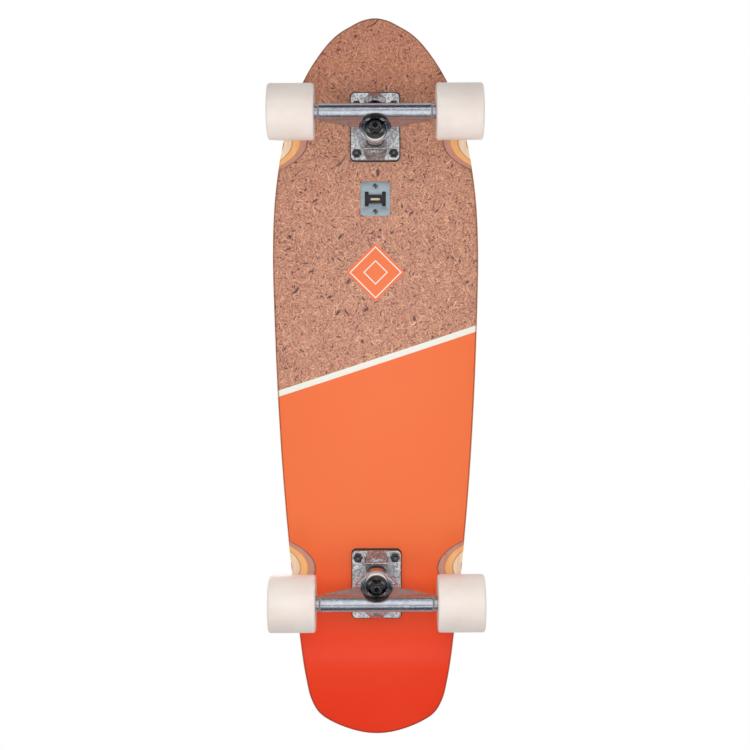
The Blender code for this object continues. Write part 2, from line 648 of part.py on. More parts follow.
def make_opener(surfaces):
    holder = bpy.data.objects.new("opener_holder", None)
    holder.location = (OPENER_X, 0.0, DECK_BOTTOM)
    bpy.context.collection.objects.link(holder)

    outline = rounded_rectangle(-OPENER_LENGTH / 2, OPENER_LENGTH / 2, OPENER_WIDTH / 2, OPENER_CORNER)
    lip_half_width = MOUTH_WIDTH / 2 - MOUTH_END_WIDTH - FIT
    lips = []
    for side in (-1, 1):
        tip = side * MOUTH_LENGTH / 2
        root = side * (MOUTH_LENGTH / 2 + LIP_LENGTH + OPENER_THICKNESS / 2)
        section = [(root, 0.1 * OPENER_THICKNESS), (tip, LIP_DIP),
                   (tip, LIP_DIP + 0.8 * OPENER_THICKNESS), (root, 0.9 * OPENER_THICKNESS)]
        lips.append(side_prism(section, -lip_half_width, lip_half_width))
    head_seats = []
    for _, screw_x in screw_places():
        profile = [(0.0, -SPARE), (OPENER_SCREW_HEAD_RADIUS + FIT, -SPARE),
                   (OPENER_SCREW_HEAD_RADIUS + FIT, 0.0),
                   (OPENER_SCREW_RADIUS + FIT, OPENER_SCREW_HEAD_DEPTH),
                   (OPENER_SCREW_RADIUS + FIT, SPARE), (0.0, SPARE)]
        seat = turned(profile, 12, around_outside=True)
        head_seats.append(moved(seat, Matrix.Translation((screw_x - OPENER_X, 0.0, 0.0))))
    mouth = prism(opener_mouth(), -SPARE, SPARE)
    plate_with_mouth = combined("opener_blank", prism(outline, 0.0, OPENER_THICKNESS), removed=[mouth])
    blank = bmesh.new()
    blank.from_mesh(plate_with_mouth)
    plate = combined("opener_plate", blank, added=lips, removed=head_seats)
    place("opener_plate", plate, surfaces["steel"], holder)

    tray = rounded_rectangle(-POCKET_LENGTH / 2 + FIT, POCKET_LENGTH / 2 - FIT,
                             POCKET_WIDTH / 2 - FIT, POCKET_CORNER - FIT)
    hollow = rounded_rectangle(-POCKET_LENGTH / 2 + FIT + LINER_WALL, POCKET_LENGTH / 2 - FIT - LINER_WALL,
                               POCKET_WIDTH / 2 - FIT - LINER_WALL, POCKET_CORNER - FIT - LINER_WALL)
    slot = rounded_rectangle(-LINER_SLOT_LENGTH / 2, LINER_SLOT_LENGTH / 2, LINER_SLOT_WIDTH / 2, FIT, 1)
    low = OPENER_THICKNESS + FIT
    liner = combined("opener_liner", prism(tray, low, POCKET_DEPTH - FIT),
                     removed=[prism(hollow, low - SPARE, POCKET_DEPTH - FIT - LINER_WALL),
                              prism(slot, 0.0, POCKET_DEPTH + SPARE)])
    place("opener_liner", liner, surfaces["black_plastic"], holder)

    profile = [(0.0, 0.0), (OPENER_SCREW_HEAD_RADIUS, 0.0), (OPENER_SCREW_RADIUS, OPENER_SCREW_HEAD_DEPTH),
               (OPENER_SCREW_RADIUS, OPENER_SCREW_LENGTH - OPENER_SCREW_RADIUS), (0.0, OPENER_SCREW_LENGTH)]
    for end, screw_x in screw_places():
        screw = mesh_of(turned(profile, 12), "opener_screw")
        place("opener_screw_" + end, screw, surfaces["black_steel"], holder,
              Matrix.Translation((screw_x - OPENER_X, 0.0, 0.0)))


# Pieces of one truck, each as a mesh in the frame that it is placed with

def plate_hole(centre, top, bottom):
    hole = rod(BOLT_RADIUS + FIT, bottom - SPARE, top + SPARE, BOLT_SIDES, around_outside=True)
    return moved(hole, Matrix.Translation(centre))


def riser_mesh():
    outline = rounded_rectangle(-PLATE_INNER_END - RISER_MARGIN, PLATE_OUTER_END + RISER_MARGIN,
                                PLATE_WIDTH / 2 + RISER_SIDE_MARGIN, PLATE_CORNER + RISER_SIDE_MARGIN)
    holes = [plate_hole(centre, RISER_THICKNESS + FIT, FIT) for centre in bolt_places()]
    return combined("riser_pad", prism(outline, FIT, FIT + RISER_THICKNESS), removed=holes)


def on_kingpin(distance, outward=0.0):
    """A point in the truck's middle plane, at a distance along the kingpin and off it."""
    square_to_kingpin = Vector((math.cos(KINGPIN_TILT), 0.0, math.sin(KINGPIN_TILT)))
    return KINGPIN_BASE + KINGPIN_DOWN * distance + square_to_kingpin * outward


def ramp_block():
    """The wedge between the plate's inner end and the kingpin boss, flaring into the boss."""
    seat_edge = on_kingpin(BOSS_HEIGHT, -BOSS_RADIUS)
    middle = on_kingpin(BOSS_HEIGHT)
    root = -PLATE_THICKNESS / 2
    stations = ((-PLATE_INNER_END + RAMP_SETBACK, -PLATE_THICKNESS - RAMP_END_HEIGHT, RAMP_END_HALF_WIDTH),
                (seat_edge.x, seat_edge.z, RAMP_HALF_WIDTH),
                (middle.x, middle.z + OVERLAP / 2, RAMP_HALF_WIDTH))
    sections = []
    for x, bottom, half in stations:
        sections.append([Vector((x, -half, root)), Vector((x, half, root)),
                         Vector((x, half, bottom)), Vector((x, -half, bottom))])
    return lofted(sections)


def ramp_channel():
    """The smooth trough down the middle of the ramp, between its two side ribs."""
    seat_edge = on_kingpin(BOSS_HEIGHT, -BOSS_RADIUS)
    inner_x = -PLATE_INNER_END + RAMP_SETBACK
    run = seat_edge.x - inner_x
    slope = (-PLATE_THICKNESS - seat_edge.z) / run
    sections = []
    for x in (seat_edge.x - RAMP_CHANNEL_SETBACK, inner_x - SPARE):
        share = (seat_edge.x - x) / run
        half = RAMP_CHANNEL_HALF_WIDTH + RAMP_CHANNEL_FLARE * share
        floor = min(seat_edge.z + RAMP_CHANNEL_DEPTH + slope * (seat_edge.x - x),
                    -PLATE_THICKNESS + RAMP_CHANNEL_END_DEPTH)
        low = seat_edge.z - SPARE
        sections.append([Vector((x, -half, floor)), Vector((x, half, floor)),
                         Vector((x, half, low)), Vector((x, -half, low))])
    return lofted(sections)


def hull_of(points):
    """Stretches a skin round a cloud of points."""
    shape = bmesh.new()
    for point in points:
        shape.verts.new(point)
    bmesh.ops.convex_hull(shape, input=shape.verts)
    inside = [corner for corner in shape.verts if not corner.link_faces]
    bmesh.ops.delete(shape, geom=inside, context="VERTS")
    bmesh.ops.recalc_face_normals(shape, faces=shape.faces)
    return shape


def pivot_boss():
    """The eight-sided boss that holds the pivot cup, with draft from the plate to its square-cut mouth."""
    reach = PIVOT_RADIUS + FIT + PIVOT_CUP_WALL + FIT + PIVOT_BOSS_WALL
    steer_frame = axis_frame(PIVOT, STEER_AXIS)
    outer_x = PLATE_OUTER_END + PIVOT_BOSS_OVERHANG
    inner_x = PIVOT_OFFSET - reach - PIVOT_BOSS_DRAFT
    centre_x = (outer_x + inner_x) / 2
    points = []
    for step in range(8):
        angle = math.tau * (step + 0.5) / 8
        round_axis = Vector((math.cos(angle), math.sin(angle), 0.0)) * (reach / math.cos(math.pi / 8))
        for distance in (PIVOT_CUP_LENGTH - PIVOT_BOSS_SQUARE, PIVOT_CUP_LENGTH):
            points.append(steer_frame @ (round_axis + Vector((0.0, 0.0, distance))))
        half_length = (outer_x - centre_x) / math.cos(math.pi / 8)
        half_width = (reach + PIVOT_BOSS_SIDE_DRAFT) / math.cos(math.pi / 8)
        points.append(Vector((centre_x + half_length * math.cos(angle), half_width * math.sin(angle),
                              -PLATE_THICKNESS / 2)))
    return hull_of(points)


def pivot_bore():
    """The hole for the cup: a ball end round the pivot, then straight out along the steering axis."""
    radius = PIVOT_RADIUS + FIT + PIVOT_CUP_WALL + FIT
    return moved(turned(ball_end(radius) + [(radius, 5 * SPARE), (0.0, 5 * SPARE)], PIVOT_SIDES),
                 axis_frame(PIVOT, STEER_AXIS))


def ball_end(radius, steps=3):
    """Half a ball's profile, from its pole below the centre to its widest point."""
    return [(radius * math.sin(math.pi / 2 * step / steps), -radius * math.cos(math.pi / 2 * step / steps))
            for step in range(steps)] + [(radius, 0.0)]


def plate_ribs():
    """Two low ribs that tie the kingpin boss to the pivot boss."""
    start = on_kingpin(BOSS_HEIGHT, BOSS_RADIUS * PLATE_RIB_START)
    end_x = PIVOT_OFFSET - PIVOT_CUP_LENGTH
    outline = [(start.x, start.z + OVERLAP), (end_x, -PLATE_THICKNESS - PLATE_RIB_HEIGHT),
               (end_x, -PLATE_THICKNESS / 2), (start.x, -PLATE_THICKNESS / 2)]
    inner = PIVOT_RADIUS + FIT + PIVOT_CUP_WALL + FIT - PLATE_RIB_OVERLAP
    return [side_prism(outline, *sorted((side * inner, side * (inner + PLATE_RIB_WIDTH)))) for side in (-1, 1)]


def baseplate_mesh():
    outline = rounded_rectangle(-PLATE_INNER_END, PLATE_OUTER_END, PLATE_WIDTH / 2, PLATE_CORNER)
    # the plate starts too thick, so that one cut makes its whole mounting face
    plate = prism(outline, -PLATE_THICKNESS, OVERLAP)
    mounting_face = prism(rounded_rectangle(-PLATE_INNER_END - SPARE, PLATE_OUTER_END + SPARE,
                                            PLATE_WIDTH / 2 + SPARE, PLATE_CORNER), 0.0, 2 * SPARE)
    kingpin_frame = axis_frame(KINGPIN_BASE, KINGPIN_DOWN)
    boss = moved(rod(BOSS_RADIUS, PLATE_THICKNESS / 2 + BOSS_RADIUS * math.tan(KINGPIN_TILT) / 2,
                     BOSS_HEIGHT, RING_SIDES), kingpin_frame)
    head_top = head_start()
    head_pocket = moved(rod(KINGPIN_HEAD_RADIUS + FIT, -SPARE, head_top + KINGPIN_HEAD_HEIGHT + FIT,
                            KINGPIN_SIDES, around_outside=True), kingpin_frame)
    bore = moved(rod(KINGPIN_RADIUS + FIT, 0.0, BOSS_HEIGHT + SPARE, KINGPIN_SIDES, around_outside=True),
                 kingpin_frame)
    holes = [plate_hole(centre, 0.0, -PLATE_THICKNESS) for centre in bolt_places()]
    return combined("baseplate", plate, added=[boss, ramp_block(), pivot_boss()] + plate_ribs(),
                    removed=[mounting_face, ramp_channel(), head_pocket, bore, pivot_bore()] + holes)


def head_start():
    """Where the kingpin's head begins, so that its tilted rim stays under the mounting face."""
    return (KINGPIN_HEAD_RADIUS * math.sin(KINGPIN_TILT) + FIT) / math.cos(KINGPIN_TILT)


def kingpin_mesh():
    top = head_start()
    profile = [(0.0, top), (KINGPIN_HEAD_RADIUS, top), (KINGPIN_HEAD_RADIUS, top + KINGPIN_HEAD_HEIGHT),
               (KINGPIN_RADIUS, top + KINGPIN_HEAD_HEIGHT), (KINGPIN_RADIUS, KINGPIN_END - KINGPIN_CHAMFER),
               (KINGPIN_RADIUS - KINGPIN_CHAMFER, KINGPIN_END), (SOCKET_RADIUS, KINGPIN_END),
               (SOCKET_RADIUS, KINGPIN_END - SOCKET_DEPTH), (0.0, KINGPIN_END - SOCKET_DEPTH)]
    return mesh_of(turned(profile, KINGPIN_SIDES), "kingpin")


def washer_mesh(radius, thickness, at):
    bore = KINGPIN_RADIUS + FIT
    profile = [(bore, at), (radius, at), (radius, at + thickness), (bore, at + thickness)]
    return mesh_of(turned(profile, BUSHING_SIDES), "washer")


def cup_washer_mesh():
    bore = KINGPIN_RADIUS + 2 * FIT
    at = CUP_WASHER_AT
    lip = at + CUP_WASHER_WALL - CUP_WASHER_HEIGHT
    inside = CUP_WASHER_RADIUS - CUP_WASHER_WALL
    profile = [(bore, at), (inside, at), (inside, lip), (CUP_WASHER_RADIUS, lip),
               (CUP_WASHER_RADIUS, at + CUP_WASHER_EDGE),
               (CUP_WASHER_RADIUS - CUP_WASHER_WALL, at + CUP_WASHER_WALL), (bore, at + CUP_WASHER_WALL)]
    return mesh_of(turned(profile, BUSHING_SIDES), "cup_washer")


def boardside_bushing_mesh():
    bore = KINGPIN_RADIUS + 2 * FIT
    at = BOARDSIDE_BUSHING_AT
    end = at + BOARDSIDE_BUSHING_HEIGHT
    shoulder = BOARDSIDE_BUSHING_RADIUS - BOARDSIDE_BUSHING_ROUND
    profile = [(bore, at), (shoulder, at), (BOARDSIDE_BUSHING_RADIUS, at + BOARDSIDE_BUSHING_ROUND_LENGTH),
               (BOARDSIDE_BUSHING_RADIUS, end - BOARDSIDE_BUSHING_ROUND_LENGTH), (shoulder, end), (bore, end)]
    return mesh_of(turned(profile, BUSHING_SIDES), "boardside_bushing")


def roadside_bushing_mesh():
    bore = KINGPIN_RADIUS + 2 * FIT
    at = ROADSIDE_BUSHING_AT
    end = at + ROADSIDE_BUSHING_HEIGHT
    profile = [(bore, at), (ROADSIDE_BUSHING_RADIUS, at), (ROADSIDE_BUSHING_RADIUS, at + ROAD_SEAT_DEPTH),
               (ROADSIDE_BUSHING_TOP_RADIUS, end), (bore, end)]
    return mesh_of(turned(profile, BUSHING_SIDES), "roadside_bushing")


def nut_mesh(flats, bore_radius, height, name):
    """A hexagon with a round bore."""
    hexagon = rod(flats / 2, 0.0, height, 6, around_outside=True)
    bore = rod(bore_radius, -SPARE, height + SPARE, NUT_BORE_SIDES, around_outside=True)
    return combined(name, hexagon, removed=[bore])


def pivot_cup_mesh():
    inside = PIVOT_RADIUS + FIT
    outside = inside + PIVOT_CUP_WALL
    mouth = PIVOT_CUP_LENGTH
    profile = ball_end(outside) + [(outside, mouth), (inside, mouth)] + list(reversed(ball_end(inside)))
    return mesh_of(turned(profile, PIVOT_SIDES), "pivot_cup")


def web_section(share, y):
    """One section of the web: share is 0 at the tube's end and 1 in the middle of the hanger."""
    ring_edge = on_kingpin(RING_WEB_AT + RING_WEB)
    reach = (AXLE.x - TUBE_RADIUS - ring_edge.x) * share
    climb = (ring_edge.z - AXLE.z) * share
    return [Vector((AXLE.x + TUBE_RADIUS * outward - reach_share * reach, y,
                    AXLE.z + TUBE_RADIUS * up + climb_share * climb))
            for outward, up, reach_share, climb_share in WEB_CORNERS]


def web_end():
    return HANGER_HALF_WIDTH - OVERLAP / 2


def web_at(y):
    """The web's section at a distance from the middle."""
    return web_section(1.0 - abs(y) / web_end(), y)


def hanger_web():
    """The wedge that climbs from nothing at the tube's ends to the ring in the middle."""
    half = [web_end(), WEB_MIDDLE_HALF_WIDTH]
    return lofted([web_at(y) for y in [-y for y in half] + [0.0] + half[::-1]])


def wing_faces():
    """The wing's board and road faces, as distances along the kingpin."""
    return (RING_WEB_AT + WING_BOARD_FACE, RING_WEB_AT + RING_WEB + ROAD_SEAT_DEPTH - WING_ROAD_FACE)


def hanger_wing(side):
    """A flat flank square to the kingpin, from the ring's round side out to a shoulder."""
    kingpin_frame = axis_frame(KINGPIN_BASE, KINGPIN_DOWN)
    shoulders = (WING_BOARD_SHOULDER, WING_ROAD_SHOULDER)
    points = []
    for distance, (inboard, out) in zip(wing_faces(), shoulders):
        for step in range(5):
            angle = WING_TANGENT + WING_TURN * step / 4
            radius = RING_RADIUS - WING_OVERLAP
            points.append(Vector((radius * math.cos(angle), side * radius * math.sin(angle), distance)))
        points.append(Vector((inboard, side * out, distance)))
        points.append(Vector((WING_BACK, side * out, distance)))
    return hull_of([kingpin_frame @ point for point in points])


def wing_neck(side):
    """Carries the wing's shoulder down into the web; all its corners lie inside the one or the other."""
    kingpin_frame = axis_frame(KINGPIN_BASE, KINGPIN_DOWN)
    board, road = wing_faces()
    points = []
    for distance, (inboard, out) in ((board + NECK_INSET, WING_BOARD_SHOULDER),
                                     (road - NECK_INSET, WING_ROAD_SHOULDER)):
        for across in (inboard - NECK_INSET, WING_BACK + NECK_INSET):
            for y in (out - NECK_INSET, NECK_ROOT):
                points.append(kingpin_frame @ Vector((across, side * y, distance)))
    for y in (WEB_MIDDLE_HALF_WIDTH - NECK_INSET, NECK_ROOT):
        section = web_at(side * y)
        middle = sum(section, Vector()) / len(section)
        points += [corner + (middle - corner).normalized() * NECK_INSET for corner in section[1:4]]
    return hull_of(points)


def hanger_rib():
    """The upright rib in the middle, from the tube to the ring and the pivot arm."""
    arm = PIVOT + STEER_AXIS * RIB_ON_ARM_AT
    ring_side = RING_CENTRE.x + RIB_INTO_RING
    outline = [(AXLE.x + TUBE_RADIUS * 0.8, AXLE.z), (arm.x + OVERLAP, arm.z - RIB_ARM_DROP),
               (arm.x - OVERLAP, arm.z), (ring_side, RING_CENTRE.z + RIB_ABOVE_RING_CENTRE),
               (ring_side, RING_CENTRE.z - RIB_INTO_RING), (AXLE.x, AXLE.z)]
    return side_prism(outline, -RIB_HALF_WIDTH, RIB_HALF_WIDTH)


def pivot_arm():
    """The arm along the steering axis, tapering to the rounded nose that turns in the cup."""
    neck = PIVOT_CUP_LENGTH + ARM_NECK_LENGTH
    root = (RING_CENTRE - PIVOT).length - ARM_ROOT_BEFORE_RING
    profile = ball_end(PIVOT_RADIUS) + [
        (PIVOT_RADIUS, neck), (PIVOT_RADIUS + ARM_SHOULDER, neck + ARM_SHOULDER_LENGTH),
        (ARM_ROOT_RADIUS, root), (0.0, root)]
    return moved(turned(profile, PIVOT_SIDES), axis_frame(PIVOT, STEER_AXIS))


def nut_scoop():
    """The scoop in the tube that clears the kingpin's nut, kept off the axle's bore."""
    centre_x = on_kingpin(KINGPIN_NUT_AT).x
    waist = AXLE.x - AXLE_RADIUS - FIT - NUT_SCOOP_WALL - centre_x
    top = TRUCK_HEIGHT - NUT_SCOOP_TOP
    below = TRUCK_HEIGHT + TUBE_RADIUS + OVERLAP / 2
    profile = [(0.0, top), (waist, top)]
    profile += [(waist + wider, TRUCK_HEIGHT - above) for wider, above in NUT_SCOOP_STEPS]
    profile += [(waist + NUT_SCOOP_MOUTH, below), (0.0, below)]
    scoop = turned(profile, RING_SIDES)
    stretch = Matrix.Diagonal((1.0, NUT_SCOOP_STRETCH, 1.0, 1.0))
    return moved(scoop, axis_frame(Vector((centre_x, 0.0, 0.0)), (0.0, 0.0, -1.0)) @ stretch)


def hanger_mesh():
    """The casting, then moved so that its own origin lies on the steering axis, at the ring's centre."""
    across = axis_frame(AXLE, (0.0, 1.0, 0.0))
    half = HANGER_HALF_WIDTH
    end = half + HANGER_END_LENGTH
    tube = moved(turned([(0.0, -end), (HANGER_END_RADIUS, -end), (HANGER_END_RADIUS, -half), (TUBE_RADIUS, -half),
                         (TUBE_RADIUS, half), (HANGER_END_RADIUS, half), (HANGER_END_RADIUS, end), (0.0, end)],
                        TUBE_SIDES), across)
    kingpin_frame = axis_frame(KINGPIN_BASE, KINGPIN_DOWN)
    road_web = RING_WEB_AT + RING_WEB
    rim = road_web + ROAD_SEAT_DEPTH
    low = RING_WEB_AT - BOARD_SEAT_DEPTH
    ring = moved(rod(RING_RADIUS, low, rim + OVERLAP, RING_SIDES), kingpin_frame)
    seat = BOARDSIDE_BUSHING_RADIUS + FIT
    clear = RING_RADIUS + BOARD_SEAT_CLEARANCE
    board_seat = turned([(0.0, BOSS_HEIGHT - SPARE), (clear + OVERLAP, BOSS_HEIGHT - SPARE),
                         (clear, low - BOARD_SEAT_CLEARANCE_HEIGHT), (seat, low + FIT),
                         (seat, RING_WEB_AT), (0.0, RING_WEB_AT)], BUSHING_SIDES, around_outside=True)
    road_seat = rod(ROADSIDE_BUSHING_RADIUS + FIT, road_web, rim + SPARE, BUSHING_SIDES, around_outside=True)
    recess_end = KINGPIN_NUT_AT + KINGPIN_NUT_HEIGHT / 2
    recess = turned([(0.0, rim), (RING_RADIUS + RECESS_GAP, rim), (RECESS_END_RADIUS, recess_end),
                     (0.0, recess_end)], RING_SIDES)
    bore = rod(RING_BORE_RADIUS, RING_WEB_AT - SPARE, road_web + SPARE, KINGPIN_SIDES)
    axle_bore = moved(rod(AXLE_RADIUS + FIT, -end - SPARE, end + SPARE, AXLE_SIDES, around_outside=True), across)
    removed = [moved(shape, kingpin_frame) for shape in (board_seat, road_seat, recess, bore)]
    added = [hanger_web(), ring, pivot_arm(), hanger_rib()]
    for side in (-1, 1):
        added += [hanger_wing(side), wing_neck(side)]
    casting = combined("hanger", tube, added=added, removed=removed + [nut_scoop(), axle_bore])
    casting.transform(Matrix.Translation(-RING_CENTRE))
    return casting


def axle_mesh():
    """The axle with its speed washers and bearing spacers turned on it, symmetric about the middle."""
    washer_at = INNER_BEARING_AT - FIT - SPEED_WASHER_THICKNESS
    spacer_at = INNER_BEARING_AT + BEARING_WIDTH + FIT
    half = [(AXLE_RADIUS, washer_at), (SPEED_WASHER_RADIUS, washer_at),
            (SPEED_WASHER_RADIUS, INNER_BEARING_AT - FIT), (AXLE_RADIUS, INNER_BEARING_AT - FIT),
            (AXLE_RADIUS, spacer_at), (SPACER_RADIUS, spacer_at),
            (SPACER_RADIUS, OUTER_BEARING_AT - FIT), (AXLE_RADIUS, OUTER_BEARING_AT - FIT),
            (AXLE_RADIUS, AXLE_HALF_LENGTH - AXLE_CHAMFER), (AXLE_RADIUS - AXLE_CHAMFER, AXLE_HALF_LENGTH),
            (0.0, AXLE_HALF_LENGTH)]
    profile = [(radius, -along) for radius, along in reversed(half)] + half
    return mesh_of(turned(profile, AXLE_SIDES), "axle")


def bearing_mesh():
    """A bearing whose outward face has its shield set back between the two races."""
    bore = AXLE_RADIUS + FIT
    half = BEARING_WIDTH / 2
    shield = half - BEARING_SHIELD_DEPTH
    profile = [(bore, -half), (BEARING_RADIUS, -half), (BEARING_RADIUS, half),
               (BEARING_RADIUS - BEARING_LAND, half), (BEARING_RADIUS - BEARING_LAND, shield), (bore, shield)]
    return mesh_of(turned(profile, BEARING_SIDES), "bearing")


def wheel_mesh():
    """A wheel in its own frame: +Z points away from the hanger and z = 0 is its middle."""
    half = WHEEL_WIDTH / 2
    middle = WHEEL_INNER_FACE + half
    seat = BEARING_RADIUS + FIT
    inner_seat_end = INNER_BEARING_AT + BEARING_WIDTH + FIT - middle
    outer_seat_start = OUTER_BEARING_AT - FIT - middle
    outer_seat_end = OUTER_BEARING_AT + BEARING_WIDTH + WHEEL_SEAT_LIP - middle
    lip_bulge = WHEEL_LIP_BULGE * WHEEL_LIP
    profile = [(WHEEL_RADIUS, -half + WHEEL_LIP), (WHEEL_RADIUS, half - WHEEL_LIP),
               (WHEEL_RADIUS - lip_bulge, half - lip_bulge), (WHEEL_RADIUS - WHEEL_LIP, half),
               (WHEEL_RECESS_RADIUS, half), (seat, outer_seat_end), (seat, outer_seat_start),
               (WHEEL_SHOULDER_RADIUS, outer_seat_start), (WHEEL_SHOULDER_RADIUS, inner_seat_end),
               (seat, inner_seat_end), (seat + WHEEL_INNER_FLARE, -half), (WHEEL_RADIUS - WHEEL_LIP, -half),
               (WHEEL_RADIUS - lip_bulge, -half + lip_bulge)]
    return mesh_of(turned(profile, WHEEL_SIDES, around_outside=True), "wheel")


def bolt_mesh():
    """A countersunk bolt in the truck's frame, its head flush with the deck's top."""
    top = MOUNT_DROP + DECK_THICKNESS - FIT
    nut_end = -PLATE_THICKNESS - FIT - LOCK_NUT_HEIGHT
    tip = nut_end - BOLT_PAST_NUT
    profile = [(0.0, tip), (BOLT_RADIUS, tip), (BOLT_RADIUS, top - BOLT_HEAD_DEPTH),
               (BOLT_HEAD_RADIUS, top), (0.0, top)]
    return mesh_of(turned(profile, BOLT_SIDES), "deck_bolt")


# Assembly

def truck_meshes():
    return {
        "riser_pad": riser_mesh(),
        "baseplate": baseplate_mesh(),
        "pivot_cup": pivot_cup_mesh(),
        "kingpin": kingpin_mesh(),
        "boardside_washer": washer_mesh(BOARDSIDE_WASHER_RADIUS, WASHER_THICKNESS, BOARDSIDE_WASHER_AT),
        "boardside_bushing": boardside_bushing_mesh(),
        "roadside_bushing": roadside_bushing_mesh(),
        "roadside_washer": cup_washer_mesh(),
        "kingpin_nut": nut_mesh(KINGPIN_NUT_FLATS, KINGPIN_RADIUS + FIT, KINGPIN_NUT_HEIGHT, "kingpin_nut"),
        "hanger": hanger_mesh(),
        "axle": axle_mesh(),
        "axle_nut": nut_mesh(AXLE_NUT_FLATS, AXLE_RADIUS + FIT, AXLE_NUT_HEIGHT, "axle_nut"),
        "bearing": bearing_mesh(),
        "wheel": wheel_mesh(),
        "deck_bolt": bolt_mesh(),
        "lock_nut": nut_mesh(LOCK_NUT_FLATS, BOLT_RADIUS + FIT, LOCK_NUT_HEIGHT, "lock_nut"),
    }


def make_truck(end, holder, meshes, surfaces):
    """Places the pieces of one truck under its empty."""
    kingpin_frame = axis_frame(KINGPIN_BASE, KINGPIN_DOWN)
    nut_frame = axis_frame(on_kingpin(KINGPIN_NUT_AT), KINGPIN_DOWN)
    across = axis_frame(AXLE, (0.0, 1.0, 0.0))
    pieces = (
        ("riser_pad", "bushing", Matrix.Identity(4)),
        ("baseplate", "cast", Matrix.Identity(4)),
        ("pivot_cup", "bushing", axis_frame(PIVOT, STEER_AXIS)),
        ("kingpin", "black_steel", kingpin_frame),
        ("boardside_washer", "black_steel", kingpin_frame),
        ("boardside_bushing", "bushing", kingpin_frame),
        ("roadside_bushing", "bushing", kingpin_frame),
        ("roadside_washer", "black_steel", kingpin_frame),
        ("kingpin_nut", "black_steel", nut_frame),
        ("hanger", "cast", Matrix.Translation(RING_CENTRE)),
        ("axle", "steel", across),
    )
    for piece, surface, matrix in pieces:
        place(end + "_" + piece, meshes[piece], surfaces[surface], holder, matrix)

    for side_name, side in (("left", 1), ("right", -1)):
        side_in_truck = side if end == "front" else -side
        outward = Vector((0.0, side_in_truck, 0.0))
        label = end + "_" + side_name + "_"
        wheel_middle = WHEEL_INNER_FACE + WHEEL_WIDTH / 2
        inner_middle = INNER_BEARING_AT + BEARING_WIDTH / 2
        outer_middle = OUTER_BEARING_AT + BEARING_WIDTH / 2
        place(label + "wheel", meshes["wheel"], surfaces["wheel"], holder,
              axis_frame(AXLE + outward * wheel_middle, outward))
        place(label + "inner_bearing", meshes["bearing"], surfaces["steel"], holder,
              axis_frame(AXLE + outward * inner_middle, -outward))
        place(label + "outer_bearing", meshes["bearing"], surfaces["steel"], holder,
              axis_frame(AXLE + outward * outer_middle, outward))
        place(label + "axle_nut", meshes["axle_nut"], surfaces["steel"], holder,
              axis_frame(AXLE + outward * AXLE_NUT_AT, outward))

    for number, centre in enumerate(bolt_places(), start=1):
        place(end + "_bolt_" + str(number), meshes["deck_bolt"], surfaces["black_steel"], holder,
              Matrix.Translation(centre))
        under_plate = centre - Vector((0.0, 0.0, PLATE_THICKNESS + FIT + LOCK_NUT_HEIGHT))
        place(end + "_lock_nut_" + str(number), meshes["lock_nut"], surfaces["black_steel"], holder,
              Matrix.Translation(under_plate))


def make_truck_holder(end, x, turn):
    """An empty at the truck's origin; the rear truck is the front one turned end for end."""
    holder = bpy.data.objects.new(end + "_truck_holder", None)
    holder.location = (x, 0.0, DECK_BOTTOM - MOUNT_DROP)
    holder.rotation_euler = (0.0, 0.0, turn)
    bpy.context.collection.objects.link(holder)
    return holder


def main():
    for leftover in list(bpy.data.objects):
        bpy.data.objects.remove(leftover)
    surfaces = all_materials()
    make_deck(surfaces["wood"])
    make_grip_tape(surfaces["grit"])
    make_opener(surfaces)
    meshes = truck_meshes()
    for end, x, turn in (("front", FRONT_TRUCK_X, 0.0), ("rear", REAR_TRUCK_X, math.pi)):
        make_truck(end, make_truck_holder(end, x, turn), meshes, surfaces)


main()
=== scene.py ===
import math

import bmesh
import bpy
from mathutils import Matrix, Vector


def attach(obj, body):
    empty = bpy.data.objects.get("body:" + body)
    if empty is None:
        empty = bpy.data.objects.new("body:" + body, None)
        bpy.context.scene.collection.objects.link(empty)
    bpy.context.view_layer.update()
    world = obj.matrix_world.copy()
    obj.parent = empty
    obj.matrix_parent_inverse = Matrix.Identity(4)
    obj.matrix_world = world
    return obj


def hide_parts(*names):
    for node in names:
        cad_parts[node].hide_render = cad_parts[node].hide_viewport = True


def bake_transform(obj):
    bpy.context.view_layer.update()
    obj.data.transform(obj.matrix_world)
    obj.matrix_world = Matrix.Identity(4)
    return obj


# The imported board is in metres, with +X at the nose, +Y at its left side and the wheels on z = 0.
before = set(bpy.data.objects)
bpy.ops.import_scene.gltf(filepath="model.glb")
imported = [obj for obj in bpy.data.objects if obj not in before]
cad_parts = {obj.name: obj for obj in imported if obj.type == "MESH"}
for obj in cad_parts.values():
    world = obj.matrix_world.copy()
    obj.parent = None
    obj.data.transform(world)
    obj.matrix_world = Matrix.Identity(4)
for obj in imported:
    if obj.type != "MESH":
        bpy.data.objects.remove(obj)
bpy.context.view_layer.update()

# Deck: maple veneers glued and pressed to a concave with a lifted nose and a kicked tail, then cut to its
# outline, rounded over, scooped out beside the wheels and drilled. The underside has a coconut-fibre veneer,
# a cream stripe and orange paint, all under clear lacquer. The paint is drawn redder towards the tail and the
# veneer deeper brown at the nose: painted shade of the kicked tail and the lifted nose.
DECK_LENGTH = 0.8128
DECK_WIDTH = 0.2318
DECK_THICKNESS = 0.011
DECK_BOTTOM = 0.0876
DECK_ROUND = 0.003
NOSE_X = DECK_LENGTH / 2
OUTLINE_STEPS = 8           # between two points of the template
CORNER_STEPS = 8            # round one corner of a rounded rectangle
